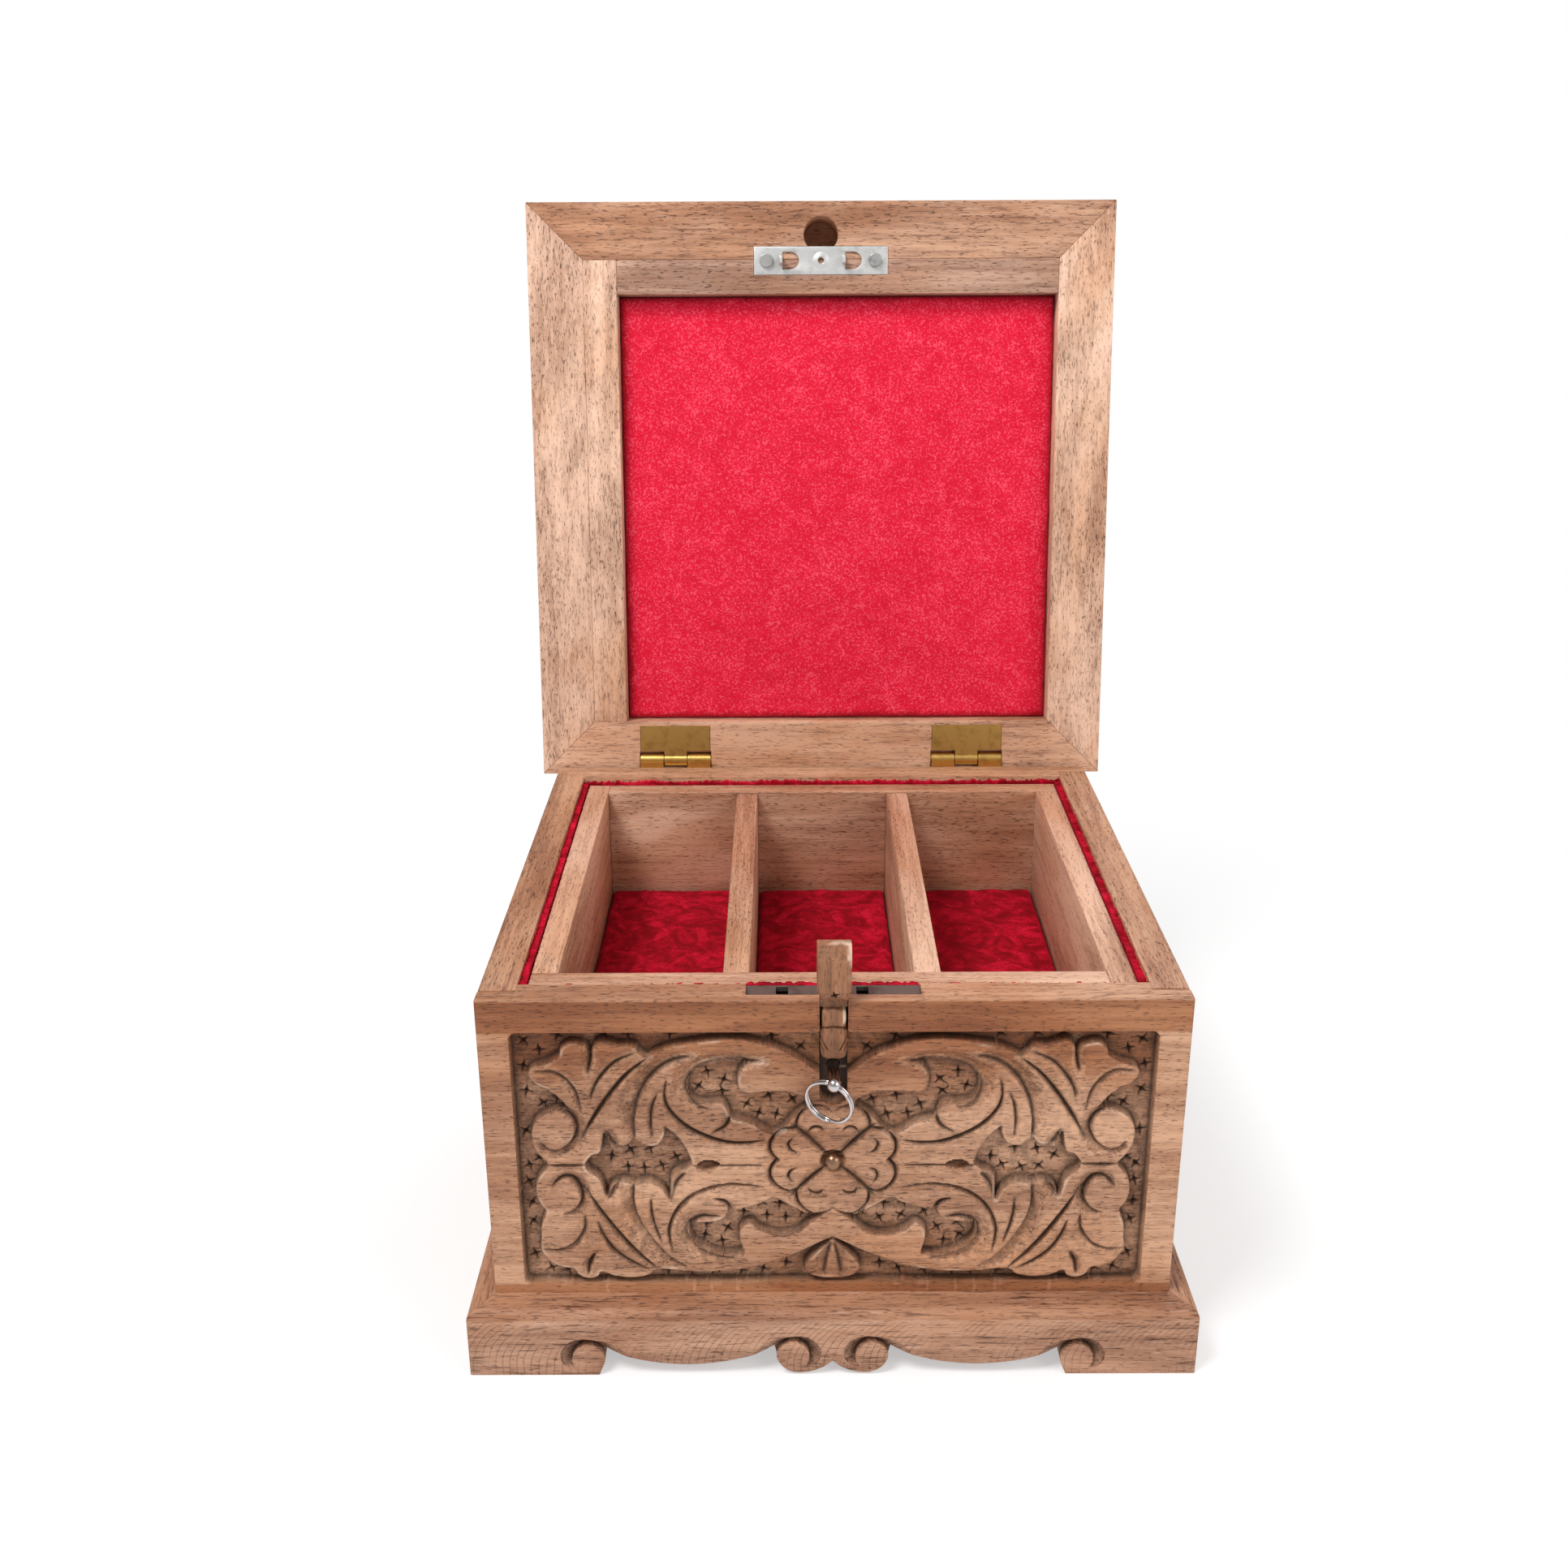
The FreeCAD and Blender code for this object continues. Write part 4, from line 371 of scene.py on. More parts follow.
nickel = metal_material("nickel", (208, 208, 206), (164, 160, 154), 0.42, 0.5, 0.6)
nail_nickel = metal_material("nail_nickel", (190, 190, 188), (120, 118, 116), 0.34, 0.6, 0.75)
bright_nickel = metal_material("bright_nickel", (206, 200, 200), (150, 140, 140), 0.14, 0.3)
lock_steel = metal_material("lock_steel", (98, 92, 84), (64, 56, 50), 0.5, 0.7, 0.5)
brass = metal_material("hinge_brass", (206, 164, 92), (150, 112, 60), 0.36, 0.5)
bronze_nail = metal_material("rosette_nail_bronze", (150, 116, 92), (84, 60, 46), 0.3, 0.6)
print("materials", len(bpy.data.materials))

# %% [markdown]
# ## Meshes made in code
#
# Every new piece is made in one of two ways. The first turns arrays of points and faces into
# a mesh; the second starts from a bmesh, Blender's editable mesh. Both end in the same steps:
# the piece takes its finish, rides on its body and stands in for its solid.
# Holes are cut with a boolean modifier whose result is kept as a plain mesh.

# %% Makers of pieces
def linked(name, data):
    made = bpy.data.objects.new(name, data)
    bpy.context.scene.collection.objects.link(made)
    return made


def finished(made, body, material, replaced, sharp):
    """The last steps of each piece: edges bent by more than the sharp angle stay crisp."""
    mesh = made.data
    mesh.materials.append(material)
    mesh.polygons.foreach_set("use_smooth", [True] * len(mesh.polygons))
    if sharp:
        mesh.set_sharp_from_angle(angle=math.radians(sharp))
    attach(made, body)
    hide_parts(replaced)
    return made


def piece(name, points, faces, body, material, replaced, slot, tone=None, sharp=None):
    """A piece from points in metres; points without a tone read plain black."""
    mesh = bpy.data.meshes.new(name)
    mesh.from_pydata([tuple(point) for point in points], [], faces)
    mesh.validate()
    mesh.update()
    if tone is not None:
        layer = mesh.color_attributes.new("tone", "FLOAT_COLOR", "POINT")
        values = np.zeros((len(mesh.vertices), 4), np.float32)
        values[:, 3] = 1
        values[:len(tone)] = tone
        layer.data.foreach_set("color", values.ravel())
    return finished(linked(name, mesh), body, material, replaced, sharp)


def mesh_of(name, bm):
    """The bmesh as a linked mesh, with its faces turned outwards."""
    bmesh.ops.recalc_face_normals(bm, faces=bm.faces)
    mesh = bpy.data.meshes.new(name)
    bm.to_mesh(mesh)
    bm.free()
    return linked(name, mesh)


def evaluated_mesh(made):
    """The object's mesh with its modifiers or its bevel worked out."""
    bpy.context.view_layer.update()
    return bpy.data.meshes.new_from_object(made.evaluated_get(bpy.context.evaluated_depsgraph_get()))


def cut_away(target, bm, solver="EXACT"):
    """Takes the bmesh away from the piece."""
    cutter = mesh_of("cutter", bm)
    modifier = target.modifiers.new("carve", "BOOLEAN")
    modifier.operation, modifier.solver, modifier.object = "DIFFERENCE", solver, cutter
    result = evaluated_mesh(target)
    target.modifiers.clear()
    target.data = result
    bpy.data.objects.remove(cutter)


print("makers ready")

# %% [markdown]
# ## The carving
#
# Each carved face is a sunk field with scrolls, leaves and a rosette left standing. A carver
# cuts it in three steps, and the script follows them: the ground is lowered, leaving the
# foliage; gouges then cut hollows and veins into the foliage; last, a star punch roughens the
# ground. Sculpting by hand would be another way, but a height map worked out from a few drawn
# lines gives crisp, repeatable cuts. The pattern is drawn once, for the left half of the
# front, in millimetres from the rosette, and every carved face samples the same map.

# %% Drawn lines of the pattern
OUTER = [(0, 26.2), (-3.4, 25.9), (-6.9, 28.4), (-11.6, 31.7), (-17.4, 34), (-23.3, 35.4),
         (-29.1, 35.5), (-34.9, 34.7), (-40.8, 33.6), (-45, 32), (-47.3, 30.6), (-49.4, 31.9),
         (-50.6, 33.6), (-54.9, 33.9), (-57.6, 34.8), (-60, 34.6), (-61.7, 30.8), (-62.6, 33.4),
         (-64.6, 34.3), (-67.1, 34.5), (-69, 32.9), (-69.8, 30.6), (-73.3, 28.6), (-76.6, 27.6),
         (-77.6, 25.4), (-75.7, 22.8), (-73.6, 21.7), (-70.8, 19.6), (-68.6, 17), (-67.9, 14.9),
         (-70, 15.2), (-72.4, 14.7), (-75.2, 13.2), (-77.2, 10.6), (-77.7, 6.9), (-76.8, 3.2),
         (-74.1, -0.6), (-74.2, -1.9), (-76.6, -5), (-77.5, -9.1), (-76.6, -13), (-75.2, -15.3),
         (-76.6, -19.7), (-76.9, -24), (-77, -27.6), (-74.7, -31.2), (-71.7, -32.7),
         (-68.7, -33.4), (-67.5, -35.3), (-65.1, -36.4), (-62.6, -35.8), (-61.3, -34.2),
         (-57.7, -35.7), (-52.7, -36.1), (-49, -35.3), (-46.5, -33.5), (-41.5, -33.9),
         (-36.6, -34.3), (-30.4, -34.3), (-24.3, -33.6), (-19.3, -32.5), (-14.4, -30.7),
         (-8.8, -28.4), (-3.9, -25.7), (0, -23.4)]
LENS = [(-64.4, -0.9), (-62.4, 1.9), (-60.3, 2.9), (-59.1, 9), (-57.2, 4.3), (-53.6, 4.9),
        (-51.2, 6.5), (-48.2, 4.6), (-45.2, 5.1), (-43.5, 8), (-43.4, 10), (-39.8, 6.6),
        (-37.5, 2.5), (-36.6, -1), (-38.5, -2.6), (-41.9, -4.8), (-42.6, -12.1), (-44.5, -8.6),
        (-48, -6.6), (-51.7, -7.2), (-54.7, -6.3), (-57.7, -7.8), (-59.1, -11.3), (-60.7, -5.7),
        (-63.3, -3.3)]
UPPER_EYE = [(-37.3, 21.4), (-36.3, 25.3), (-33.3, 27.8), (-29.2, 28.9), (-24.5, 29.6),
             (-18.1, 29.2), (-22.2, 28.3), (-24.1, 25.3), (-24.3, 22), (-23.2, 20.2),
             (-18.7, 20.5), (-14, 20.7), (-9.3, 19.9), (-6, 18.2), (-5.6, 16.6), (-9.8, 13.4),
             (-12.6, 9.6), (-15.3, 7.9), (-17.7, 8.8), (-21.2, 11.1), (-26, 12.6), (-27, 14.7),
             (-27.7, 16.2), (-28.8, 17.2), (-31.8, 17), (-35.4, 17.6)]
LOWER_EYE = [(-37.9, -20.6), (-37.1, -24.2), (-34, -27), (-29.7, -29.2), (-25.4, -29.4),
             (-23.4, -28.5), (-24.4, -24.2), (-24.1, -20.9), (-21.6, -19.2), (-19.2, -21.5),
             (-14.3, -23.2), (-9.4, -22.3), (-6, -19.4), (-2.2, -15.9), (-5.7, -16.6),
             (-10.6, -13.9), (-15.4, -11.2), (-17.9, -12.6), (-24, -14.6), (-27.2, -15.2),
             (-28.3, -17.2), (-30.1, -18.3), (-33.2, -18.8), (-36.4, -19)]
FOOT_LEAF = [(2, -24.6), (0, -24.4), (-1.6, -26), (-4.1, -28.4), (-6.4, -31), (-7.2, -33.2),
             (-5.6, -35.4), (-3, -36.2), (0, -36.4), (2, -36.4)]
LENS_HOLE = [(-35.4, -1.6), (-33.7, -0.1), (-31.9, 0.2), (-29.6, -0.9), (-30.7, -2.4),
             (-32.3, -3.3), (-34.2, -3)]
# Each cut is its line, its depth, and how wide it opens to the left and right of its direction.
CUTS = [
    ([(-47.2, 30.4), (-52.8, 25.3), (-57.8, 18.8), (-62, 12.1), (-64.6, 7.2)], 2.1, 0.8, 1.1),
    ([(-76, 26.5), (-71.6, 26.5), (-68.2, 24.2), (-65.7, 20.2), (-64.5, 14.5)], 1.5, 0.5, 2.2),
    ([(-49.9, 31.9), (-55, 29.3), (-58.7, 25.5), (-61.1, 21.5), (-62.2, 17.8)], 1.6, 0.5, 1.8),
    ([(-61.9, 34.2), (-61.6, 30.6), (-62.4, 26)], 2.6, 0.8, 2.2),
    ([(-75.6, 5.6), (-73.9, 3.6), (-71.1, 3.1), (-68, 5), (-66.2, 8.7), (-66.7, 12.1),
      (-68.7, 14.5), (-71.2, 15)], 2.6, 0.5, 3.4),
    ([(-36, 30.8), (-42.1, 28.6), (-47, 24.1), (-50.1, 18.1), (-51.3, 12.1), (-51.2, 5.4)], 2.6,
      0.5, 5.2),
    ([(-44.9, 20.3), (-46.4, 16.1), (-46.9, 11.4), (-46.6, 6.5)], 1.3, 0.6, 1),
    ([(-42.4, 25), (-43.3, 19.4), (-42, 14.7), (-37.9, 10), (-32.6, 6.9), (-27.3, 5.2),
      (-21.9, 5.2), (-17.3, 6.2)], 1.8, 1.3, 0.5),
    ([(-27.1, 16.7), (-26.4, 13.3), (-27.8, 10), (-31.4, 8.2)], 1.7, 0.5, 1.6),
    ([(-17.6, 29.3), (-24.5, 29.6), (-29.2, 28.9), (-33.3, 27.6), (-36.3, 25.3), (-37.6, 21.4),
      (-35.6, 17.2), (-32, 15.6)], 2.4, 0.4, 4.4),
    ([(-18.2, 29.2), (-22.2, 28.3), (-24.6, 25.3), (-24.6, 21.6), (-22.4, 19.6)], 1.2, 1.8, 0.5),
    ([(-73.9, -1.2), (-69, -1.5), (-64.1, -1.2)], 1.5, 0.7, 0.7),
    ([(-38, -1.6), (-33, -1.6), (-24, -1.5), (-17, -1.4)], 1, 0.5, 0.5),
    ([(-58.9, 9.4), (-57.2, 5.4), (-55, 3.4)], 1.8, 3, 0.4),
    ([(-43.4, 10.4), (-40.6, 7.2), (-38.2, 3), (-37, -0.4)], 1.8, 0.4, 3),
    ([(-73.6, -8.3), (-70.9, -5.5), (-67.9, -5.7), (-66, -8.6), (-65.7, -12), (-67.4, -14.8),
      (-70.6, -16.2)], 2.6, 3.2, 0.5),
    ([(-64.2, -9), (-60.5, -16.2), (-55.9, -23.4), (-51.3, -29.1), (-46.5, -33.5)], 2.1, 1.1, 0.8),
    ([(-65.1, -16.2), (-65.6, -21.2), (-68.3, -25.5), (-72.1, -27.3), (-77, -27.1)], 1.5, 2, 0.5),
    ([(-61.9, -18.1), (-60.8, -22.6), (-58, -27.7), (-53.8, -31.3), (-48.5, -33.9)], 1.6, 1.6, 0.5),
    ([(-62.8, -28.4), (-64.6, -32.4), (-65, -35.4)], 2.4, 0.8, 2),
    ([(-51.7, -6.4), (-52.2, -12.7), (-50.9, -18.4), (-47.4, -24.8), (-43.3, -29.9),
      (-38.6, -32.9)], 2.6, 0.5, 5),
    ([(-47.6, -11), (-47.6, -15.6), (-46.7, -20.6), (-44.9, -25.8)], 1.3, 1, 0.6),
    ([(-17.6, -8.2), (-23.9, -7.2), (-29.9, -7.6), (-36, -10), (-40.4, -14.2), (-43, -19.9),
      (-43.1, -24.1), (-42.2, -28.2)], 1.8, 1.3, 0.5),
    ([(-31.4, -11.6), (-28.2, -12.9), (-27, -15.4), (-28.4, -18.4)], 1.7, 1.4, 0.5),
    ([(-29, -17.6), (-34.3, -17.6), (-37.9, -20), (-38.2, -23.4), (-35.6, -26.8), (-31.2, -29.2),
      (-25.6, -30.2)], 2.4, 0.4, 4),
    ([(-58.9, -11.8), (-57.2, -8.2), (-55.2, -6)], 1.8, 0.4, 3),
    ([(-42.4, -12.6), (-41, -7.6), (-38.2, -3.6)], 1.8, 3, 0.4),
    ([(0, -24), (-3.6, -26.6), (-8.8, -29.4), (-14.4, -31.4)], 1.4, 0.5, 1.6),
    ([(-0.3, -24.8), (-1.2, -29), (-1.9, -32.6), (-2.6, -36)], 1.5, 0.5, 3.6),
]
STARS = [(-78.4, 33.9), (-70.2, 35.3), (-58.2, 35.8), (-51.9, 35.8), (-42.2, 35.9), (-15.8, 35),
         (-8.8, 31.8), (-74.8, 31.1), (-79.6, 26.7), (-79.3, 19.1), (-71.3, 17.2), (-74.6, 15.2),
         (-79.7, 7.3), (-76.2, -1), (-79.6, -2.9), (-79.6, -8.2), (-78.9, -14.6), (-79.2, -20.5),
         (-79.4, -30.6), (-75.3, -35.4), (-70.2, -35.9), (-59, -36.1), (-44.2, -36.1),
         (-37.5, -36.3), (-31.3, -36.3), (-24.4, -36), (-18.2, -35.7), (-12.8, -33.9),
         (-32.3, 24.7), (-27.6, 22.4), (-34, 20.5), (-28.4, 18.9), (-22.6, 15), (-16, 17.7),
         (-10.6, 16.6), (-19.4, 12.2), (-14.3, 12), (-57.5, -0.2), (-52.6, 1.7), (-47.6, 2),
         (-40.6, -0.8), (-53.9, -3.8), (-49.3, -4.2), (-44.8, -3.4), (-33.1, -21.2),
         (-27.3, -22.8), (-34, -25.1), (-29.3, -26.8), (-23.9, -17.6), (-18.6, -14.6),
         (-13.4, -14.9), (-17.6, -18.9), (-12.6, -19.6), (-7.6, -17.6)]
# Each arc is mirrored about the rosette's level line.
ARCS = [[(-6.6, 8.2), (-5.4, 9.8), (-3.6, 9.9), (-2.2, 8.6)],
        [(-9.3, 2.2), (-11.0, 3.2), (-11.6, 5.0), (-10.4, 6.8)]]
print("cuts", len(CUTS), "outline points", len(OUTER) + len(LENS) + len(UPPER_EYE) + len(LOWER_EYE))

# %% Smooth lines, and places inside or beside them
def smooth_step(value):
    value = np.clip(value, 0.0, 1.0)
    return value * value * (3 - 2 * value)


def flowing(points, closed=False, steps=7):
    """More points on a smooth curve through the drawn ones."""
    points = np.array(points, float)
    count = len(points)
    if closed:
        ahead = [np.roll(points, -k, axis=0) for k in (-1, 0, 1, 2)]
    else:
        padded = np.vstack([2 * points[0] - points[1], points, 2 * points[-1] - points[-2]])
        ahead = [padded[k:k + count - 1] for k in range(4)]
    before, here, after, beyond = ahead
    rows = []
    for t in np.arange(steps) / steps:
        rows.append(0.5 * (2 * here + (after - before) * t
                           + (2 * before - 5 * here + 4 * after - beyond) * t ** 2
                           + (3 * here - before - 3 * after + beyond) * t ** 3))
    line = np.stack(rows, 1).reshape(-1, 2)
    return line if closed else np.vstack([line, points[-1]])


def nearest(x, z, line):
    """Distance to a line, which side of it, and how far along it, for flat arrays of points."""
    a, b = line[:-1], line[1:]
    run = b - a
    length = np.maximum((run ** 2).sum(1), 1e-9)
    dx, dz = x[:, None] - a[:, 0], z[:, None] - a[:, 1]
    t = np.clip((dx * run[:, 0] + dz * run[:, 1]) / length, 0, 1)
    ex, ez = dx - t * run[:, 0], dz - t * run[:, 1]
    gap = ex ** 2 + ez ** 2
    best = gap.argmin(1)
    rows = np.arange(len(x))
    side = np.sign(run[best, 0] * ez[rows, best] - run[best, 1] * ex[rows, best])
    return np.sqrt(gap[rows, best]), side, (best + t[rows, best]) / len(a)


def inside(x, z, loop):
    """Which points lie inside a closed line: a ray from them crosses it an odd number of times."""
    a, b = loop, np.roll(loop, -1, axis=0)
    crosses = (a[:, 1] > z[..., None]) != (b[:, 1] > z[..., None])
    with np.errstate(divide="ignore", invalid="ignore"):
        at = a[:, 0] + (z[..., None] - a[:, 1]) / (b[:, 1] - a[:, 1]) * (b[:, 0] - a[:, 0])
    return (crosses & (x[..., None] < at)).sum(-1) % 2 == 1


def rosette_outline():
    """Four petals, each with two lobes."""
    angle = np.radians(np.arange(0, 360, 3.0))
    turn = (np.degrees(angle) + 45) % 90 - 45
    radius = np.interp(np.abs(turn), [0, 5, 11, 18, 26, 34, 41, 45],
                       [14.2, 15.6, 16.6, 17.0, 16.7, 15.8, 14.4, 13.2])
    return np.stack([radius * np.cos(angle), radius * np.sin(angle)], 1)


print("rosette radius", round(float(np.hypot(*rosette_outline().T).max()), 1))

# %% Ground and standing wood
MAP_STEP, FAR = 0.22, 9.0
MAP_X, MAP_Z = np.arange(-83.0, 0.5, MAP_STEP), np.arange(-38.6, 38.7, MAP_STEP)
GRID_X, GRID_Z = np.meshgrid(MAP_X, MAP_Z)
outer_loop = np.vstack([[(3, 26.2)], flowing(OUTER, steps=5),
                        [(3, -23.4), (3, -45), (-90, -45), (-90, 45), (3, 45)]])
islands = [flowing(line, closed=True, steps=5) for line in (LENS, UPPER_EYE, LOWER_EYE)]
standing = [flowing(FOOT_LEAF, closed=True, steps=5), rosette_outline()]
sunk = inside(GRID_X, GRID_Z, outer_loop)
for loop in islands:
    sunk |= inside(GRID_X, GRID_Z, loop)
for loop in standing:
    sunk &= ~inside(GRID_X, GRID_Z, loop)
print("map", sunk.shape, "ground share", round(float(sunk.mean()), 3))

# %% Distance to the nearest edge
EDGE_REACH, CHUNK = 3.0, 24


def near_box(line, margin):
    """The part of the map that lies within a margin of a line."""
    low, high = line.min(0) - margin, line.max(0) + margin
    return (slice(*np.searchsorted(MAP_Z, (low[1], high[1]))),
            slice(*np.searchsorted(MAP_X, (low[0], high[0]))))


gap = np.full(GRID_X.shape, FAR)
for loop in [outer_loop] + islands + standing:
    closed = np.vstack([loop, loop[:1]])
    for start in range(0, len(loop), CHUNK):
        line = closed[start:start + CHUNK + 1]
        window = near_box(line, EDGE_REACH)
        if gap[window].size:
            found = nearest(GRID_X[window].ravel(), GRID_Z[window].ravel(), line)[0]
            gap[window] = np.minimum(gap[window], found.reshape(gap[window].shape))
# A line inside ground or inside wood is no edge: an edge has sunk and standing on its two sides.
around = np.pad(sunk, 1, mode="edge")
edge = np.zeros(sunk.shape, bool)
for row, column in ((0, 1), (2, 1), (1, 0), (1, 2)):
    edge |= around[row:row + sunk.shape[0], column:column + sunk.shape[1]] != sunk
edge_rows, edge_columns = np.nonzero(edge)
real = np.full(GRID_X.shape, FAR)
reach = int(EDGE_REACH / MAP_STEP)
for row_shift in range(-reach, reach + 1):
    for column_shift in range(-reach, reach + 1):
        away = math.hypot(row_shift, column_shift) * MAP_STEP
        rows, columns = edge_rows + row_shift, edge_columns + column_shift
        keep = (rows >= 0) & (rows < real.shape[0]) & (columns >= 0) & (columns < real.shape[1])
        if away <= EDGE_REACH:
            np.minimum.at(real, (rows[keep], columns[keep]), away)
gap = np.where(real < 1.2, np.minimum(gap, real + 0.3), np.minimum(real, EDGE_REACH))
signed = np.where(sunk, -gap, gap)
print("edge points", len(edge_rows))

# %% Gouge cuts
cuts, gouge = np.zeros(GRID_X.shape), np.full(GRID_X.shape, FAR)


def gouge_cut(line, deep, left, right):
    """Deepens the map along one gouge line; the cut thins out at both ends."""
    window = near_box(line, max(left, right) + 0.3)
    gap, side, along = nearest(GRID_X[window].ravel(), GRID_Z[window].ravel(), line)
    swell = np.clip(np.sin(np.pi * np.clip(along, 0.0, 1.0)), 0, 1) ** 0.45
    slim = np.maximum(swell, 0.05)
    width = np.where(side > 0, left, right) * slim
    hollow = np.clip(1 - gap / width, 0, 1)
    hollow = np.where(width > 1.3 * slim, hollow ** 1.15, hollow)
    shape = cuts[window].shape
    cuts[window] = np.maximum(cuts[window], (deep * swell * hollow).reshape(shape))
    found = np.where(side < 0, -gap, gap).reshape(shape)
    gouge[window] = np.where(np.abs(found) < np.abs(gouge[window]), found, gouge[window])


BASE_DROP, NAIL_DISH = 0.5, 3.3
for line, deep, left, right in CUTS:
    gouge_cut(flowing(line), deep, left, right)
for sign in (1, -1):
    for line in ARCS:
        gouge_cut(flowing([(x, sign * z) for x, z in line]), 1.4, 0.6, 0.6)
gouge_cut(np.vstack([rosette_outline(), rosette_outline()[:1]])[30:92], 1.9, 0.5, 1.1)
for sign in (1, -1):
    gouge_cut(np.array([(-11.2, sign * 11.2), (-6.4, sign * 6.4), (-1.4, sign * 1.4)]), 1.9, 2.6, 0.5)
cuts = np.maximum(cuts, 2.2 * np.clip((NAIL_DISH - np.hypot(GRID_X, GRID_Z)) / 0.7, 0, 1))
cuts = np.where(inside(GRID_X, GRID_Z, flowing(LENS_HOLE, closed=True)), 3.0, cuts)
rounding = 0.2 * np.clip(1 - gap / 0.6, 0, 1) ** 2
wood = np.minimum(BASE_DROP + cuts + rounding, FIELD_DEPTH)
print("deepest cut", round(float(cuts.max()), 2))

# %% [markdown]
# ## Carved boards
#
# A carved board is a fine grid of points over its field, pushed in by the map, with only a few
# rows over the plain border, and closed by flat sides and a flat back. A plain grid would give
# every slanting edge a row of teeth, so the points next to an outline are first moved onto it,
# and those next to a gouge line onto that line: the same number of points then gives clean
# arrises. Each star punch turns the grid round it a little, because no two strokes of a hammer
# hold the punch alike. The same pass notes how much of each point is stained ground, painted
# shade or painted highlight.

# %% Grid lines, and reading the map under them
DRAWN_HALF_WIDTH, DRAWN_HALF_HEIGHT = 82.0, 38.05


def read_map(values, x, z):
    """The map's value under each point: the pattern is mirrored about its middle line."""
    column = np.clip((-np.abs(x) - MAP_X[0]) / MAP_STEP, 0, len(MAP_X) - 1.001)
    row = np.clip((z - MAP_Z[0]) / MAP_STEP, 0, len(MAP_Z) - 1.001)
    c, r = column.astype(int), row.astype(int)
    fc, fr = column - c, row - r
    return ((values[r, c] * (1 - fc) + values[r, c + 1] * fc) * (1 - fr)
            + (values[r + 1, c] * (1 - fc) + values[r + 1, c + 1] * fc) * fr)


def to_map(x, z, half_w, half_h, rows):
    """Board places as places of the drawn pattern, which is scaled to the field, once or twice."""
    if rows == 2:
        z, half_h = np.abs(z) - half_h / 2, half_h / 2
    return x / half_w * DRAWN_HALF_WIDTH, z / half_h * DRAWN_HALF_HEIGHT


def board_lines(low, high, field_low, field_high, step):
    """Grid lines: close together at the arrises and over the field, and far apart on the border."""
    head = [low, low + 0.1, low + 0.3, low + 0.7]
    tail = [high - 0.7, high - 0.3, high - 0.1, high]
    before = list(np.linspace(low + 0.7, field_low - 0.25, 4)[1:])
    after = list(np.linspace(field_high + 0.25, high - 0.7, 4)[:-1])
    count = max(2, int(round((field_high - field_low) / step)))
    return np.array(head + before + list(np.linspace(field_low, field_high, count + 1)) + after + tail)


def blur(values, times=3):
    for _ in range(times):
        for axis in (0, 1):
            wide = np.concatenate([values.take([0], axis), values, values.take([-1], axis)], axis)
            count = values.shape[axis]
            values = (wide.take(range(count), axis) + wide.take(range(1, count + 1), axis)
                      + wide.take(range(2, count + 2), axis)) / 3
    return values


def pulled(x, z, level, targets, reach):
    """Moves points that lie near one of the level's contours onto it."""
    value = level(x, z)
    slope_x = (level(x + 0.1, z) - level(x - 0.1, z)) / 0.2
    slope_z = (level(x, z + 0.1) - level(x, z - 0.1)) / 0.2
    gaps = np.array(targets) - value[..., None]
    move = np.take_along_axis(gaps, np.abs(gaps).argmin(-1)[..., None], -1)[..., 0]
    move = np.where(np.abs(move) < reach, move, 0) / np.maximum(slope_x ** 2 + slope_z ** 2, 0.5)
    return x + move * slope_x, z + move * slope_z


print("map readers ready")

# %% Depth of a carved face
PUNCH_REACH, PUNCH_ARM = 3.0, 1.8
DIAGONALS, CROSS = ((1, 1), (1, -1), (-1, 1), (-1, -1)), ((0, 1), (0, -1), (1, 0), (-1, 0))


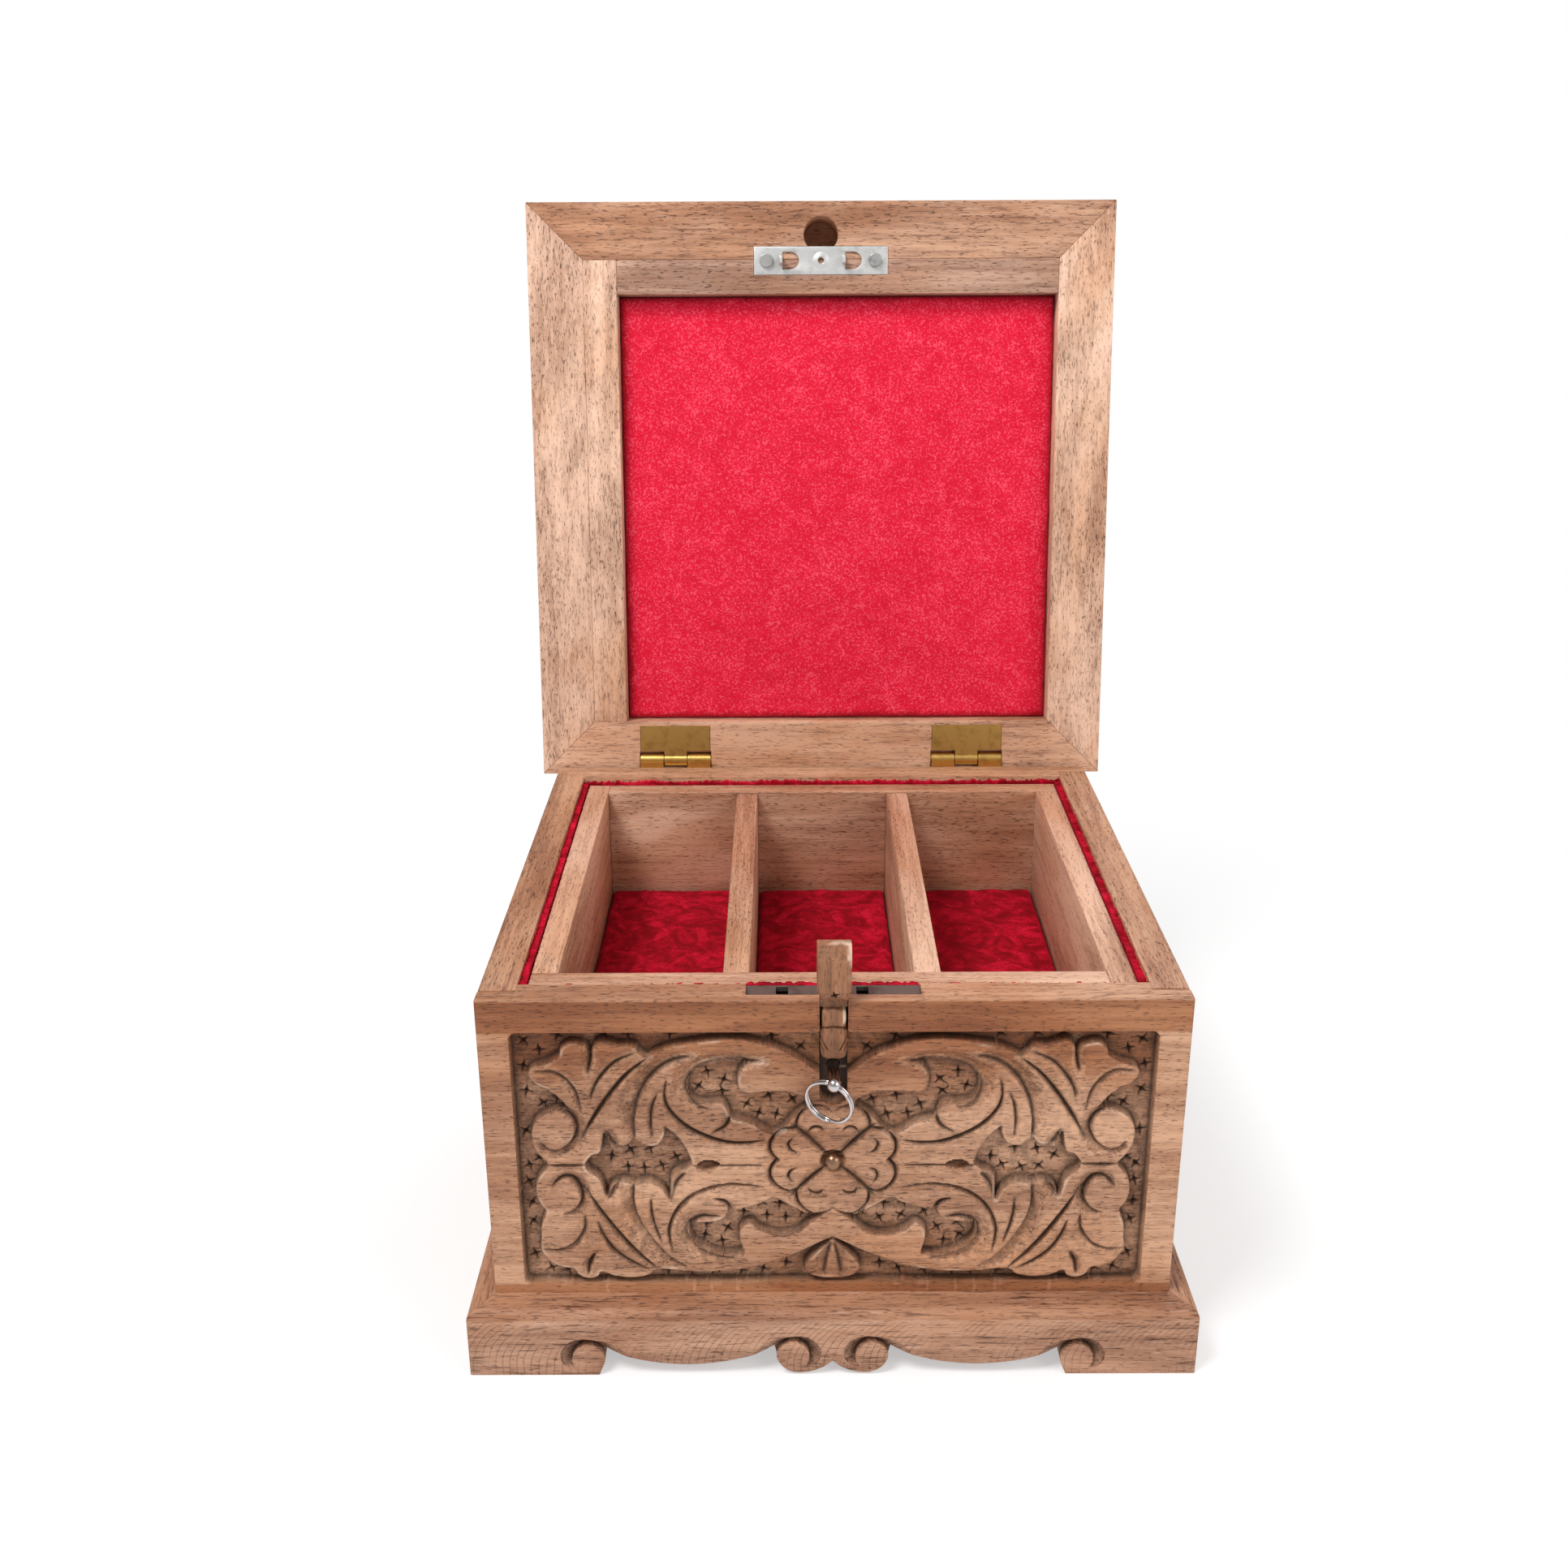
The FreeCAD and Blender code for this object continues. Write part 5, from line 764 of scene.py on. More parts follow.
def carved_depth(u, v, field, rows, seed, slot=None):
    """Places and depth below the face over the whole grid, and the shares for the finish."""
    x, z = np.meshgrid(u, v)
    u_low, u_high, v_low, v_high = field
    half_w, half_h = (u_high - u_low) / 2, (v_high - v_low) / 2
    middle_u, middle_v = (u_high + u_low) / 2, (v_high + v_low) / 2
    step = float(np.median(np.diff(u)))
    rng = np.random.default_rng(seed)

    def border(x, z, corner=2.2):
        over_x = np.abs(x - middle_u) - half_w + corner
        over_z = np.abs(z - middle_v) - half_h + corner
        return (np.hypot(np.maximum(over_x, 0), np.maximum(over_z, 0))
                + np.minimum(np.maximum(over_x, over_z), 0) - corner)

    def drawn(values, x, z):
        return read_map(values, *to_map(x - middle_u, z - middle_v, half_w, half_h, rows))

    def outline(x, z):
        return np.maximum(drawn(signed, x, z), border(x, z))

    # Turn the grid a little round each star punch.
    places = []
    for star_x, star_z in STARS:
        for mirror in (1, -1):
            for centre, share in (((0, 1),) if rows == 1 else ((0.5, 0.5), (-0.5, -0.5))):
                star_u = (star_x * mirror + rng.uniform(-0.5, 0.5)) / DRAWN_HALF_WIDTH * half_w
                places.append((middle_u + star_u,
                               middle_v + (centre + star_z / DRAWN_HALF_HEIGHT * share) * half_h))
    reach = int(PUNCH_REACH / step)
    stars = []
    for star_x, star_z in places:
        i, j = int(np.abs(u - star_x).argmin()), int(np.abs(v - star_z).argmin())
        if slot and abs(u[i]) < slot[0] / 2 + 3:
            continue
        window = np.s_[max(j - reach, 0):j + reach + 1, max(i - reach, 0):i + reach + 1]
        away_x, away_z = x[window] - u[i], z[window] - v[j]
        turn = rng.uniform(-0.75, 0.75) * smooth_step((PUNCH_REACH - np.hypot(away_x, away_z)) / 1.5)
        x[window] = u[i] + away_x * np.cos(turn) - away_z * np.sin(turn)
        z[window] = v[j] + away_x * np.sin(turn) + away_z * np.cos(turn)
        stars.append((i, j))
    # Move points onto the outlines and the gouge lines.
    run = step * DRAWN_HALF_WIDTH / half_w
    x, z = pulled(x, z, outline, [0, -run], run * 0.52)
    level = outline(x, z)
    line_x, line_z = pulled(x, z, lambda x, z: drawn(gouge, x, z), [0], run * 0.5)
    free = (level > run * 1.4) & (border(x, z) < -run) & (drawn(cuts, x, z) > 0.3)
    x, z = np.where(free, line_x, x), np.where(free, line_z, z)
    # Lower the ground and cut the foliage.
    edge = border(x, z)
    ground = smooth_step(-level / run)
    uncut = np.where(edge > -run * 1.6, 0, drawn(wood, x, z))
    depth = uncut + (FIELD_DEPTH - uncut) * ground
    rough = blur(rng.normal(0, 1, depth.shape), 1) * 0.2
    depth = depth + rough * (level < -run * 1.4)
    cut = drawn(cuts, x, z) * (level > 0) * (edge < 0)
    line = np.abs(drawn(gouge, x, z))
    # Painted shade: at the foot of each wall, along the bottom of each gouge and as a thin dark line on
    # each outline.
    painted_shade = 0.8 * ground * np.exp(-np.clip(-level - run, 0, 9) / 0.7)
    painted_shade = np.maximum(painted_shade, np.clip(cut, 0, 1) * np.exp(-(line / 0.52) ** 2))
    painted_shade = np.maximum(painted_shade, 0.3 * (np.abs(level) < run * 0.3) * (edge < -run))
    # Painted highlight along the top edge of each outline.
    ridge_highlight = np.clip(1 - np.abs(level - run) / (run * 1.2), 0, 1) * (edge < -run)
    # Punch a star with four arms where the ground lies open on all sides.
    arms = max(2, int(round(PUNCH_ARM / step)))
    marks = [(0, 0, 1.2)] + [(dj, di, 0.4) for dj, di in DIAGONALS]
    marks += [(dj * k, di * k, 1.3 * (1 - k / (arms + 0.5)))
              for k in range(1, arms + 1) for dj, di in CROSS]
    punched = 0
    for i, j in stars:
        if not (arms < i < len(u) - arms - 1 and arms < j < len(v) - arms - 1):
            continue
        if ground[j - 1:j + 2, i - 1:i + 2].min() < 0.98:
            continue
        for dj, di, deep in marks:
            if ground[j + dj, i + di] > 0.98:
                depth[j + dj, i + di] = FIELD_DEPTH + deep
                # The punched pit also gets painted shade.
                painted_shade[j + dj, i + di] = max(painted_shade[j + dj, i + di], min(1, 0.4 + deep * 1.1))
        punched += 1
    # Darken the stained ground, and the relief beside each gouge line with painted shade. The bands
    # beside the field and the upper part of the carving are made redder and darker.
    stain_and_shade = np.where(level < 0, 1, 0.25 + 0.7 * np.exp(-line / 1.7) + cut * 0.75)
    stain_and_shade = np.clip(stain_and_shade, 0, 1) * (edge < 0)
    redder = (smooth_step((z - v_high + 0.4) / 0.4) * (z < v[-1] - 0.2)
              + 0.95 * smooth_step((v_low + 0.4 - z) / 0.4)
              + 0.9 * smooth_step((z - v_high + 0.5 * half_h) / (0.3 * half_h))
              * (edge < 0) * (line > 1.5))
    if slot:
        width, foot, deep = slot
        down = np.where(z > foot + width / 2, np.abs(x), np.hypot(x, z - foot - width / 2)) - width / 2
        depth = np.where(down < 0, deep, np.where(down < 0.3, np.maximum(depth, 0.3), depth))
        # The slot is fully stained and filled with painted shade.
        stain_and_shade, painted_shade = np.where(down < 0, 1, stain_and_shade), np.where(down < 0, 1, painted_shade)
    # Ease the board's own arrises.
    for ends, grid in ((u, x), (v, z)):
        near = np.minimum(grid - ends[0], ends[-1] - grid)
        depth = depth + 0.3 * np.clip(1 - near / 0.35, 0, 1) ** 2
    return (x, z, depth), np.stack([stain_and_shade, painted_shade, ridge_highlight, 1 - np.clip(redder, 0, 1)], -1), punched


print("reliefs ready")

# %% Closed boards
BOX_SIDES = ((0, 1, 2, 3), (7, 6, 5, 4), (4, 5, 1, 0), (5, 6, 2, 1), (6, 7, 3, 2), (7, 4, 0, 3))


def grid_faces(rows, columns):
    """The numbers of a grid's points, and the faces between them."""
    index = np.arange(rows * columns).reshape(rows, columns)
    quads = np.stack([index[:-1, :-1], index[:-1, 1:], index[1:, 1:], index[1:, :-1]], -1)
    return index, quads.reshape(-1, 4).tolist()


def carved_board(name, start, across, up, grid, tone, thick, body, material, replaced, slot="walnut",
                 blocks=(), dip=0.0, dip_half=22.4):
    """A closed board: the carved face, flat sides and back, and plain blocks behind it.

    Its back top edge may dip in the middle, to leave room for the lock. With a dip below
    zero it is the lower edge that does, where the raised cover stands in the closed lid."""
    x, z, depth = grid
    axes = np.array([across, up, -across.cross(up)])
    points = np.array(start) + np.stack([x, z, depth], -1).reshape(-1, 3) @ axes
    index, faces = grid_faces(*x.shape)
    rim = np.concatenate([index[0, :], index[1:, -1], index[-1, -2::-1], index[-2:0:-1, 0]])
    flat = np.array([(x.flat[k], z.flat[k], thick) for k in rim])
    edge = flat[:, 1] > z.max() - 3 if dip > 0 else flat[:, 1] < z.min() + 3
    flat[:, 1] -= dip * edge * smooth_step((dip_half + 0.8 - np.abs(flat[:, 0])) / 1.2)
    first, count = len(points), len(rim)
    points = np.vstack([points, np.array(start) + flat @ axes]).tolist()
    for k in range(count):
        after = (k + 1) % count
        faces.append([int(rim[after]), int(rim[k]), first + k, first + after])
    faces.append([first + k for k in range(count)][::-1])
    for low, high in blocks:
        base = len(points)
        for w in (low[2], high[2]):
            for corner in ((low[0], low[1]), (high[0], low[1]), (high[0], high[1]), (low[0], high[1])):
                points.append(np.array(start) + np.array([*corner, w]) @ axes)
        faces += [[base + k for k in side] for side in BOX_SIDES]
    points = [tuple(value * MM for value in point) for point in points]
    tones = None if tone is None else tone.reshape(-1, 4)
    return piece(name, points, faces, body, material, replaced, slot, tones, 62)


print("board maker ready")

# %% Front wall
SLOT_WIDTH, SLOT_END, SLOT_DEPTH = 7.2, RIM - 30.0, 5.0
SEAT_HALF, SEAT_FOOT, SEAT_FRONT, CASE_HALF, CASE_FOOT = 22.2, RIM - 2.5, 5.2, 20.5, RIM - 29.5
SIDE_INNER, LIP = HALF_WIDTH - WALL, 6.2
ACROSS, UPWARD = Vector((1, 0, 0)), Vector((0, 0, 1))
field = (-HALF_WIDTH + FIELD_SIDE, HALF_WIDTH - FIELD_SIDE, FIELD_BOTTOM, RIM - FIELD_TOP)
slot_edge = SLOT_WIDTH / 2
u = board_lines(-HALF_WIDTH, HALF_WIDTH, field[0], field[1], 0.385)
u = np.unique(np.concatenate([u, [-slot_edge - 0.03, -slot_edge, slot_edge, slot_edge + 0.03]]))
v = board_lines(WALL_FOOT, RIM, field[2], field[3], 0.385)
grid, tone, stars = carved_depth(u, v, field, 1, 11, slot=(SLOT_WIDTH, SLOT_END, SLOT_DEPTH))
base, top = WALL_FOOT + 0.3, RIM - 0.1
behind = [
    ((-HALF_WIDTH + 0.3, base, SEAT_FRONT), (-SIDE_INNER, RIM - 0.3, LIP)),
    ((SIDE_INNER, base, SEAT_FRONT), (HALF_WIDTH - 0.3, RIM - 0.3, LIP)),
    ((-SIDE_INNER, base, SEAT_FRONT), (-SEAT_HALF, top, WALL)),
    ((SEAT_HALF, base, SEAT_FRONT), (SIDE_INNER, top, WALL)),
    ((-SEAT_HALF, base, SEAT_FRONT), (SEAT_HALF, CASE_FOOT, WALL)),
    ((-SEAT_HALF, CASE_FOOT, SEAT_FRONT), (-CASE_HALF, SEAT_FOOT, WALL)),
    ((CASE_HALF, CASE_FOOT, SEAT_FRONT), (SEAT_HALF, SEAT_FOOT, WALL)),
]
front = carved_board("carved_front", (0, FRONT_Y, 0), ACROSS, UPWARD, grid, tone, SEAT_FRONT, "case",
                     walnut_front, "front_wall", blocks=behind, dip=1.0)
print("front", len(front.data.polygons), "faces", stars, "stars")

# %% [markdown]
# Behind the cover's slot the board is pierced by the keyhole: a round hole for the key's stem
# with a narrow way below it for the bit. Its outline is drawn once and swept through the wood.

# %% Keyhole
KEY_DROP, KEYHOLE_RADIUS, KEYWAY_HALF, KEYWAY_FOOT = 20.9, 1.75, 0.75, 3.55


def prism(near_end, far_end):
    """A closed bmesh between two outlines in millimetres with equal numbers of points."""
    bm = bmesh.new()
    near, far = ([bm.verts.new(Vector(point) * MM) for point in end] for end in (near_end, far_end))
    bm.faces.new(near)
    bm.faces.new(far[::-1])
    for k in range(len(near)):
        bm.faces.new((near[k], near[k - 1], far[k - 1], far[k]))
    return bm


first_angle = -math.acos(KEYWAY_HALF / KEYHOLE_RADIUS)
outline = [(KEYHOLE_RADIUS * math.cos(a), KEYHOLE_RADIUS * math.sin(a))
           for a in np.linspace(first_angle, math.pi - first_angle, 40)]
outline += [(-KEYWAY_HALF, -KEYWAY_FOOT), (KEYWAY_HALF, -KEYWAY_FOOT)]
ends = ([(x, y, RIM - KEY_DROP + z) for x, z in outline]
        for y in (FRONT_Y + SLOT_DEPTH - 1, FRONT_Y + SEAT_FRONT + 0.4))
cut_away(front, prism(*ends), "MANIFOLD")
print("front with its keyhole", len(front.data.polygons), "faces")

# %% Side walls
LIP_BACK = 4.8
field = (FRONT_Y + WALL + FIELD_SIDE, BACK_Y - WALL - FIELD_SIDE, FIELD_BOTTOM, RIM - FIELD_TOP)
u = board_lines(FRONT_Y + LIP, BACK_Y - LIP_BACK, field[0], field[1], 0.5)
v = board_lines(WALL_FOOT, RIM, field[2], field[3], 0.5)
for side, sign in (("left", -1), ("right", 1)):
    (x, z, depth), tone, stars = carved_depth(u, v, field, 1, 21 + sign)
    if sign < 0:
        x, z, depth, tone = -x[:, ::-1], z[:, ::-1], depth[:, ::-1], tone[:, ::-1]
    wall = carved_board("carved_" + side, (sign * HALF_WIDTH, 0, 0), Vector((0, sign, 0)), UPWARD,
                        (x, z, depth), tone, WALL, "case", walnut_side, side + "_wall")
    print(side, len(wall.data.polygons), "faces", stars, "stars")

# %% [markdown]
# The lid's panel lies in a frame of four mitred rails. Its frame coordinates start at the hinge
# pin with the lid closed, because its sizes are simplest there, and one function stands them up
# with the lid. The panel carries the pattern twice, one above the other.

# %% Lid panel
LID_ANGLE = math.radians(99.2)
LID_THICK, LID_RAIL, REBATE, LID_STRIP, LID_STRIP_THICK, MARGIN = 20.0, 18.0, 5.0, 11.0, 12.0, 14.0
LID_FACE = 0.3 - (HINGE.z - RIM)
LID_REAR = 7.5 - (HINGE.y - BACK_Y)
LID_FRONT, LID_HALF = LID_REAR - 188.0, HALF_WIDTH + 5.5


def lid_place(x, y, z):
    """A point of the closed lid, measured from the hinge pin, as it stands with the lid open."""
    cos, sin = math.cos(LID_ANGLE), math.sin(LID_ANGLE)
    return Vector((x, HINGE.y + y * cos + z * sin, HINGE.z - y * sin + z * cos)) * MM


lid_up = (lid_place(0, 1, 0) - lid_place(0, 0, 0)) / MM
panel_u = LID_HALF - LID_RAIL + REBATE
panel_low, panel_high = LID_FRONT + LID_RAIL - REBATE, LID_REAR - LID_RAIL + REBATE
field = (-panel_u + MARGIN, panel_u - MARGIN, panel_low + MARGIN, panel_high - MARGIN)
u = board_lines(-panel_u, panel_u, field[0], field[1], 0.6)
v = board_lines(panel_low, panel_high, field[2], field[3], 0.6)
grid, tone, stars = carved_depth(u, v, field, 2, 31)
panel = carved_board("carved_lid_panel", lid_place(0, 0, LID_FACE + LID_THICK) / MM, ACROSS, lid_up,
                     grid, tone, LID_THICK - LID_STRIP_THICK, "lid", walnut_lid, "lid_panel",
                     dip=-3.0, dip_half=5.4)
print("lid panel", len(panel.data.polygons), "faces", stars, "stars")

# %% [markdown]
# ## Plinth and plain boards
#
# A plain board is a copy of its solid, with the triangles merged back into whole faces and
# the arrises rounded a little, as sandpaper does. The plinth is such a board with a scrolled
# lower edge. Beside each round end of a scroll the carver takes out a crescent: one sloping cut
# that starts at nothing, dives towards the boss and leaves the boss standing. The crescent is
# made as a solid of its own and taken away with a boolean, which keeps the rest of the moulding
# exactly as the frame has it.

# %% Eased copies
ARRIS, SHARP_FOLD = 0.3, math.radians(40)


def eased(name, body, material):
    bm = bmesh.new()
    bm.from_mesh(nodes[name].data)
    bmesh.ops.remove_doubles(bm, verts=bm.verts, dist=1e-6)
    bmesh.ops.dissolve_limit(bm, angle_limit=math.radians(0.5), verts=bm.verts, edges=bm.edges)
    folds = [edge for edge in bm.edges
             if len(edge.link_faces) == 2 and edge.calc_face_angle() > SHARP_FOLD]
    bmesh.ops.bevel(bm, geom=folds, offset=ARRIS * MM, segments=2, affect="EDGES", profile=0.5,
                    clamp_overlap=True)
    return finished(mesh_of("eased_" + name, bm), body, material, name, 35)


print("arris", ARRIS, "mm")

# %% Crescents
PLINTH_OUT, BOSS, FOOT_Z, MIDDLE_BOSS, FOOT_INSET = 7.0, 4.4, 5.1, (10.5, 5.9), 36.3
# At each angle round the boss: how far out the cut reaches, and how deep it is beside the boss.
CRESCENT = [(-8, 11.2, 1.8), (4, 10.6, 1.8), (16, 9.4, 1.9), (29, 8.3, 2.0), (45, 7.2, 2.2),
            (70, 6.1, 2.3), (90, 6.1, 2.3), (115, 6.7, 2.4), (140, 7.3, 2.4), (165, 7.4, 2.3),
            (190, 6.8, 1.9), (208, 5.7, 1.0), (222, 4.5, 0.0)]
# For each side: the axis that it faces, its outer face, which way is inward, and which way is right.
SIDES = {"front": (1, FRONT_Y - PLINTH_OUT, 1, 1), "back": (1, BACK_Y + PLINTH_OUT, -1, -1),
         "right": (0, HALF_WIDTH + PLINTH_OUT, -1, 1), "left": (0, -HALF_WIDTH - PLINTH_OUT, 1, -1)}


def on_side(side, along, inward, z):
    """A place on one side of the plinth, measured from the middle of its outer face."""
    axis, face, sign, right = SIDES[side]
    place = Vector((0, 0, z))
    place[axis] = face + sign * inward
    place[1 - axis] = (0 if axis else (FRONT_Y + BACK_Y) / 2) + right * along
    return place * MM


def from_table(rows, at, column=1):
    """A column of the table at these places, with straight lines between its rows."""
    rows = np.array(rows)
    return np.interp(at, rows[:, 0], rows[:, column])


def crescent(bm, side, centre, turn):
    """One cut: at each angle round the boss a corner outside, two on the boss and one at the rim."""
    angles = np.linspace(CRESCENT[0][0], CRESCENT[-1][0], 40)
    rings = []
    for angle, far, depth in zip(angles, from_table(CRESCENT, angles), from_table(CRESCENT, angles, 2)):
        angle = np.radians(angle)
        cos, sin = math.cos(angle) * turn, math.sin(angle)
        rim = min(0.4, 0.8 * depth) * min(1.0, max(0.0, (math.degrees(angle) - 30) / 50)) + 0.03
        ring = [(far + 0.4, -0.6), (BOSS, -0.6), (BOSS, depth + 0.06), (far + 0.3, rim)]
        rings.append([bm.verts.new(on_side(side, centre[0] + cos * r, w, centre[1] + sin * r))
                      for r, w in ring])
    for one, two in zip(rings[:-1], rings[1:]):
        for i in range(4):
            j = (i + 1) % 4
            bm.faces.new((one[i], one[j], two[j], two[i]))
    bm.faces.new(rings[0])
    bm.faces.new(rings[-1][::-1])


print("crescents", len(CRESCENT), "rows")

# %% Plinth
BEAD_FOOT = 17.5
for side, (axis, outer_face, sign, _) in SIDES.items():
    plinth = eased("plinth_" + side, "case", walnut_plinth if axis else walnut_plinth_side)
    half = HALF_WIDTH if axis else (BACK_Y - FRONT_Y) / 2
    foot = half + PLINTH_OUT - FOOT_INSET + BOSS
    bm = bmesh.new()
    for hand in (-1, 1):
        crescent(bm, side, (hand * foot, FOOT_Z), -hand)
        crescent(bm, side, (hand * MIDDLE_BOSS[0], MIDDLE_BOSS[1]), hand)
    before = len(plinth.data.polygons)
    cut_away(plinth, bm)
    # The crescents' faces get painted shade, darker the deeper they lie; the bead along the top is
    # redder.
    layer = plinth.data.color_attributes.new("tone", "FLOAT_COLOR", "CORNER")
    for face in plinth.data.polygons:
        middle = (face.center[axis] / MM - outer_face) * sign
        bead = face.center.z > BEAD_FOOT * MM
        plain = (0.0, 0.0, 0.0, 0.45 if bead else 1.0)
        fresh = not bead and 0.2 < middle < 3.0 and face.area < 4e-5 and abs(face.normal.z) < 0.95
        for corner, k in zip(face.loop_indices, face.vertices):
            inward = (plinth.data.vertices[k].co[axis] / MM - outer_face) * sign
            hollow_shade = (min(1, 0.3 + 0.5 * inward), min(0.75, 0.06 + 0.26 * inward), 0.0, 1.0)
            layer.data[corner].color = hollow_shade if fresh else plain
    print("plinth", side, before, "->", len(plinth.data.polygons), "faces")

# %% Boards that keep the frame's shape
for names, body, material, slot in (
        ("back_wall", "case", walnut_front, "walnut"),
        ("lid_rail_front lid_rail_back", "lid", walnut_lid, "walnut"),
        ("lid_rail_left lid_rail_right", "lid", lit_walnut_lid_side, "walnut"),
        ("lid_strip_front", "lid", walnut_strip, "walnut"),
        ("lid_strip_left", "lid", lit_walnut_lid_side, "walnut"),
        ("tray_front tray_back", "tray", tray_across, "tray_wood"),
        ("tray_left tray_right", "tray", tray_deep, "tray_wood"),
        ("tray_partition_left tray_partition_right", "tray", tray_deep, "tray_wood")):
    for name in names.split():
        eased(name, body, material)

# %% [markdown]
# ## Keyhole cover
#
# The cover is a whittled slide of walnut: a chamfered head with one star punch, a waist, a small
# cap and a bud with a notch on each side. Its front is a grid whose width and depth follow the
# height by a short table, as a turner reads a profile. The chamfers and notches are then taken
# off by distance, so their arrises stay crisp.

# %% Tables of the cover
# Each row starts with a height above the rim. WIDTHS gives half the width, FRONTS the depth of the
# front, and CHAMFERS the width and depth of the chamfer. A notch has two ends, a width and a depth.
WIDTHS = [(-16.9, 1.9), (-16.4, 2.7), (-15.6, 3.1), (-14.2, 3.32), (-11.0, 3.45), (-8.9, 3.3),
          (-7.8, 3.15), (-7.55, 2.9), (-7.3, 2.95), (-5.0, 3.05), (-3.0, 2.95), (-2.55, 2.9),
          (-2.3, 3.4), (-0.4, 3.4), (0.4, 3.45), (2.3, 3.48), (2.8, 4.0), (3.5, 4.3), (15.2, 4.3),
          (15.5, 4.2)]
FRONTS = [(-16.9, 1.2), (-16.5, 0.3), (-15.8, -0.15), (-10.9, -0.15), (-8.1, 0.2), (-7.6, 1.0),
          (-7.3, 0.3), (-6.9, -0.1), (-3.3, -0.15), (-2.75, 0.2), (-2.5, 1.4), (-0.9, 1.4), (0.4, 0.5),
          (1.3, -1.1), (2.3, -2.4), (3.6, -2.9), (12.2, -2.9), (15.5, -1.0)]
CHAMFERS = [(-16.9, 1.0, 0.9), (-8.0, 0.9, 0.8), (-7.2, 0.75, 0.7), (-2.7, 0.75, 0.6), (-2.4, 0.3, 0.1),
            (0.5, 0.4, 0.3), (3.0, 1.15, 1.1), (15.5, 1.15, 1.1)]
NOTCHES = (((3.6, -10.0), (1.5, -14.0), 0.45, 0.6), ((3.5, -12.0), (2.6, -14.2), 0.3, 0.4))
up = np.unique(list(np.linspace(-16.9, 15.5, 190)) + [row[0] for row in WIDTHS + FRONTS])
half = from_table(WIDTHS, up)
share, height = np.meshgrid(np.linspace(-1, 1, 61), up)
x = share * half[:, None]
y = from_table(FRONTS, height + np.where(height < 3, 0.6 * (x / 3.2) ** 2, 0))
wide, deep = (from_table(CHAMFERS, height, column) for column in (1, 2))
y = y + deep * np.clip(1 - (half[:, None] - np.abs(x)) / wide, 0, 1)
for outer_end, inner_end, broad, low in NOTCHES:
    for sign in (-1, 1):
        a, b = (np.array([sign * end[0], end[1]]) for end in (outer_end, inner_end))
        run = b - a
        along = np.clip(((x - a[0]) * run[0] + (height - a[1]) * run[1]) / (run @ run), 0, 1)
        off = np.hypot(x - a[0] - along * run[0], height - a[1] - along * run[1])
        y = y + low * np.clip(1 - off / (broad * (1.05 - 0.8 * along)), 0, 1)
star_x, star_z = (x - 0.1) * 0.94 + (height - 2.8) * 0.34, (height - 2.8) * 0.94 - (x - 0.1) * 0.34
arm = np.minimum(np.abs(star_x) * 2.8 + np.abs(star_z), np.abs(star_z) * 2.8 + np.abs(star_x)) / 1.5
y = y + 0.9 * np.clip((1 - arm) * 1.8, 0, 1)
print("cover front", y.shape, "deepest", round(float(y.max()), 1))

# %% Keyhole cover
rows, columns = y.shape
index, faces = grid_faces(rows, columns)
points = np.stack([x, FRONT_Y + y, RIM + height], -1).reshape(-1, 3)
back_line = np.where(up < -0.3, 4.85, 2.8)
back = np.concatenate([np.stack([x[:, i], FRONT_Y + back_line, RIM + up], -1) for i in (0, -1)])
low, high = rows * columns, rows * columns + rows
for j in range(rows - 1):
    faces.append([int(index[j, 0]), int(index[j + 1, 0]), low + j + 1, low + j])
    faces.append([int(index[j + 1, -1]), int(index[j, -1]), high + j, high + j + 1])
    faces.append([low + j, low + j + 1, high + j + 1, high + j])
faces.append([int(k) for k in index[0, ::-1]] + [low, high])
faces.append([int(k) for k in index[-1, :]] + [high + rows - 1, low + rows - 1])
bevel = np.clip(1.1 - (half[:, None] - np.abs(x)) / wide, 0, 0.2) * 5 * (arm > 1)
# Painted shade in the notches, the hollows and the star.
hollow = np.maximum(np.clip(y - blur(y, 4), 0, 0.5) * 2, np.clip((1 - arm) * 3, 0, 1))
# A pale painted highlight on the chamfers and the standing parts.
cover_highlight = np.clip(bevel * 1.6 + np.clip(blur(y, 4) - y, 0, 0.2) * 5, 0, 2)
stained = (height > 12.3) * 0.6 * (bevel < 0.5)
tones = np.stack([stained, hollow, cover_highlight, np.ones_like(y)], -1).reshape(-1, 4)
piece("whittled_cover", [tuple(p * MM) for p in np.vstack([points, back])], faces, "cover",
      walnut_cover, "keyhole_cover", "walnut", tones, 40)
print("cover", rows, "x", columns)

# %% [markdown]
# ## Split ring
#
# A split ring is one wire wound nearly twice round. Drawn as a plain torus it loses the dark
# line between its turns, so the wire is swept along a helix that steps over itself once.

# %% Split ring
def wire_tube(points, radius, sides=12):
    """A tube along points, as lists of points and faces."""
    made, faces = [], []
    normal = (points[1] - points[0]).orthogonal().normalized()
    for i, point in enumerate(points):
        ahead = (points[min(i + 1, len(points) - 1)] - points[max(i - 1, 0)]).normalized()
        normal = (normal - ahead * normal.dot(ahead)).normalized()
        side = ahead.cross(normal)
        for k in range(sides):
            turn = 2 * math.pi * k / sides
            made.append(point + (normal * math.cos(turn) + side * math.sin(turn)) * radius)
    for i in range(len(points) - 1):
        for k in range(sides):
            j = (k + 1) % sides
            faces.append([i * sides + k, i * sides + j, (i + 1) * sides + j, (i + 1) * sides + k])
    faces.append(list(range(sides))[::-1])
    faces.append([(len(points) - 1) * sides + k for k in range(sides)])
    return made, faces


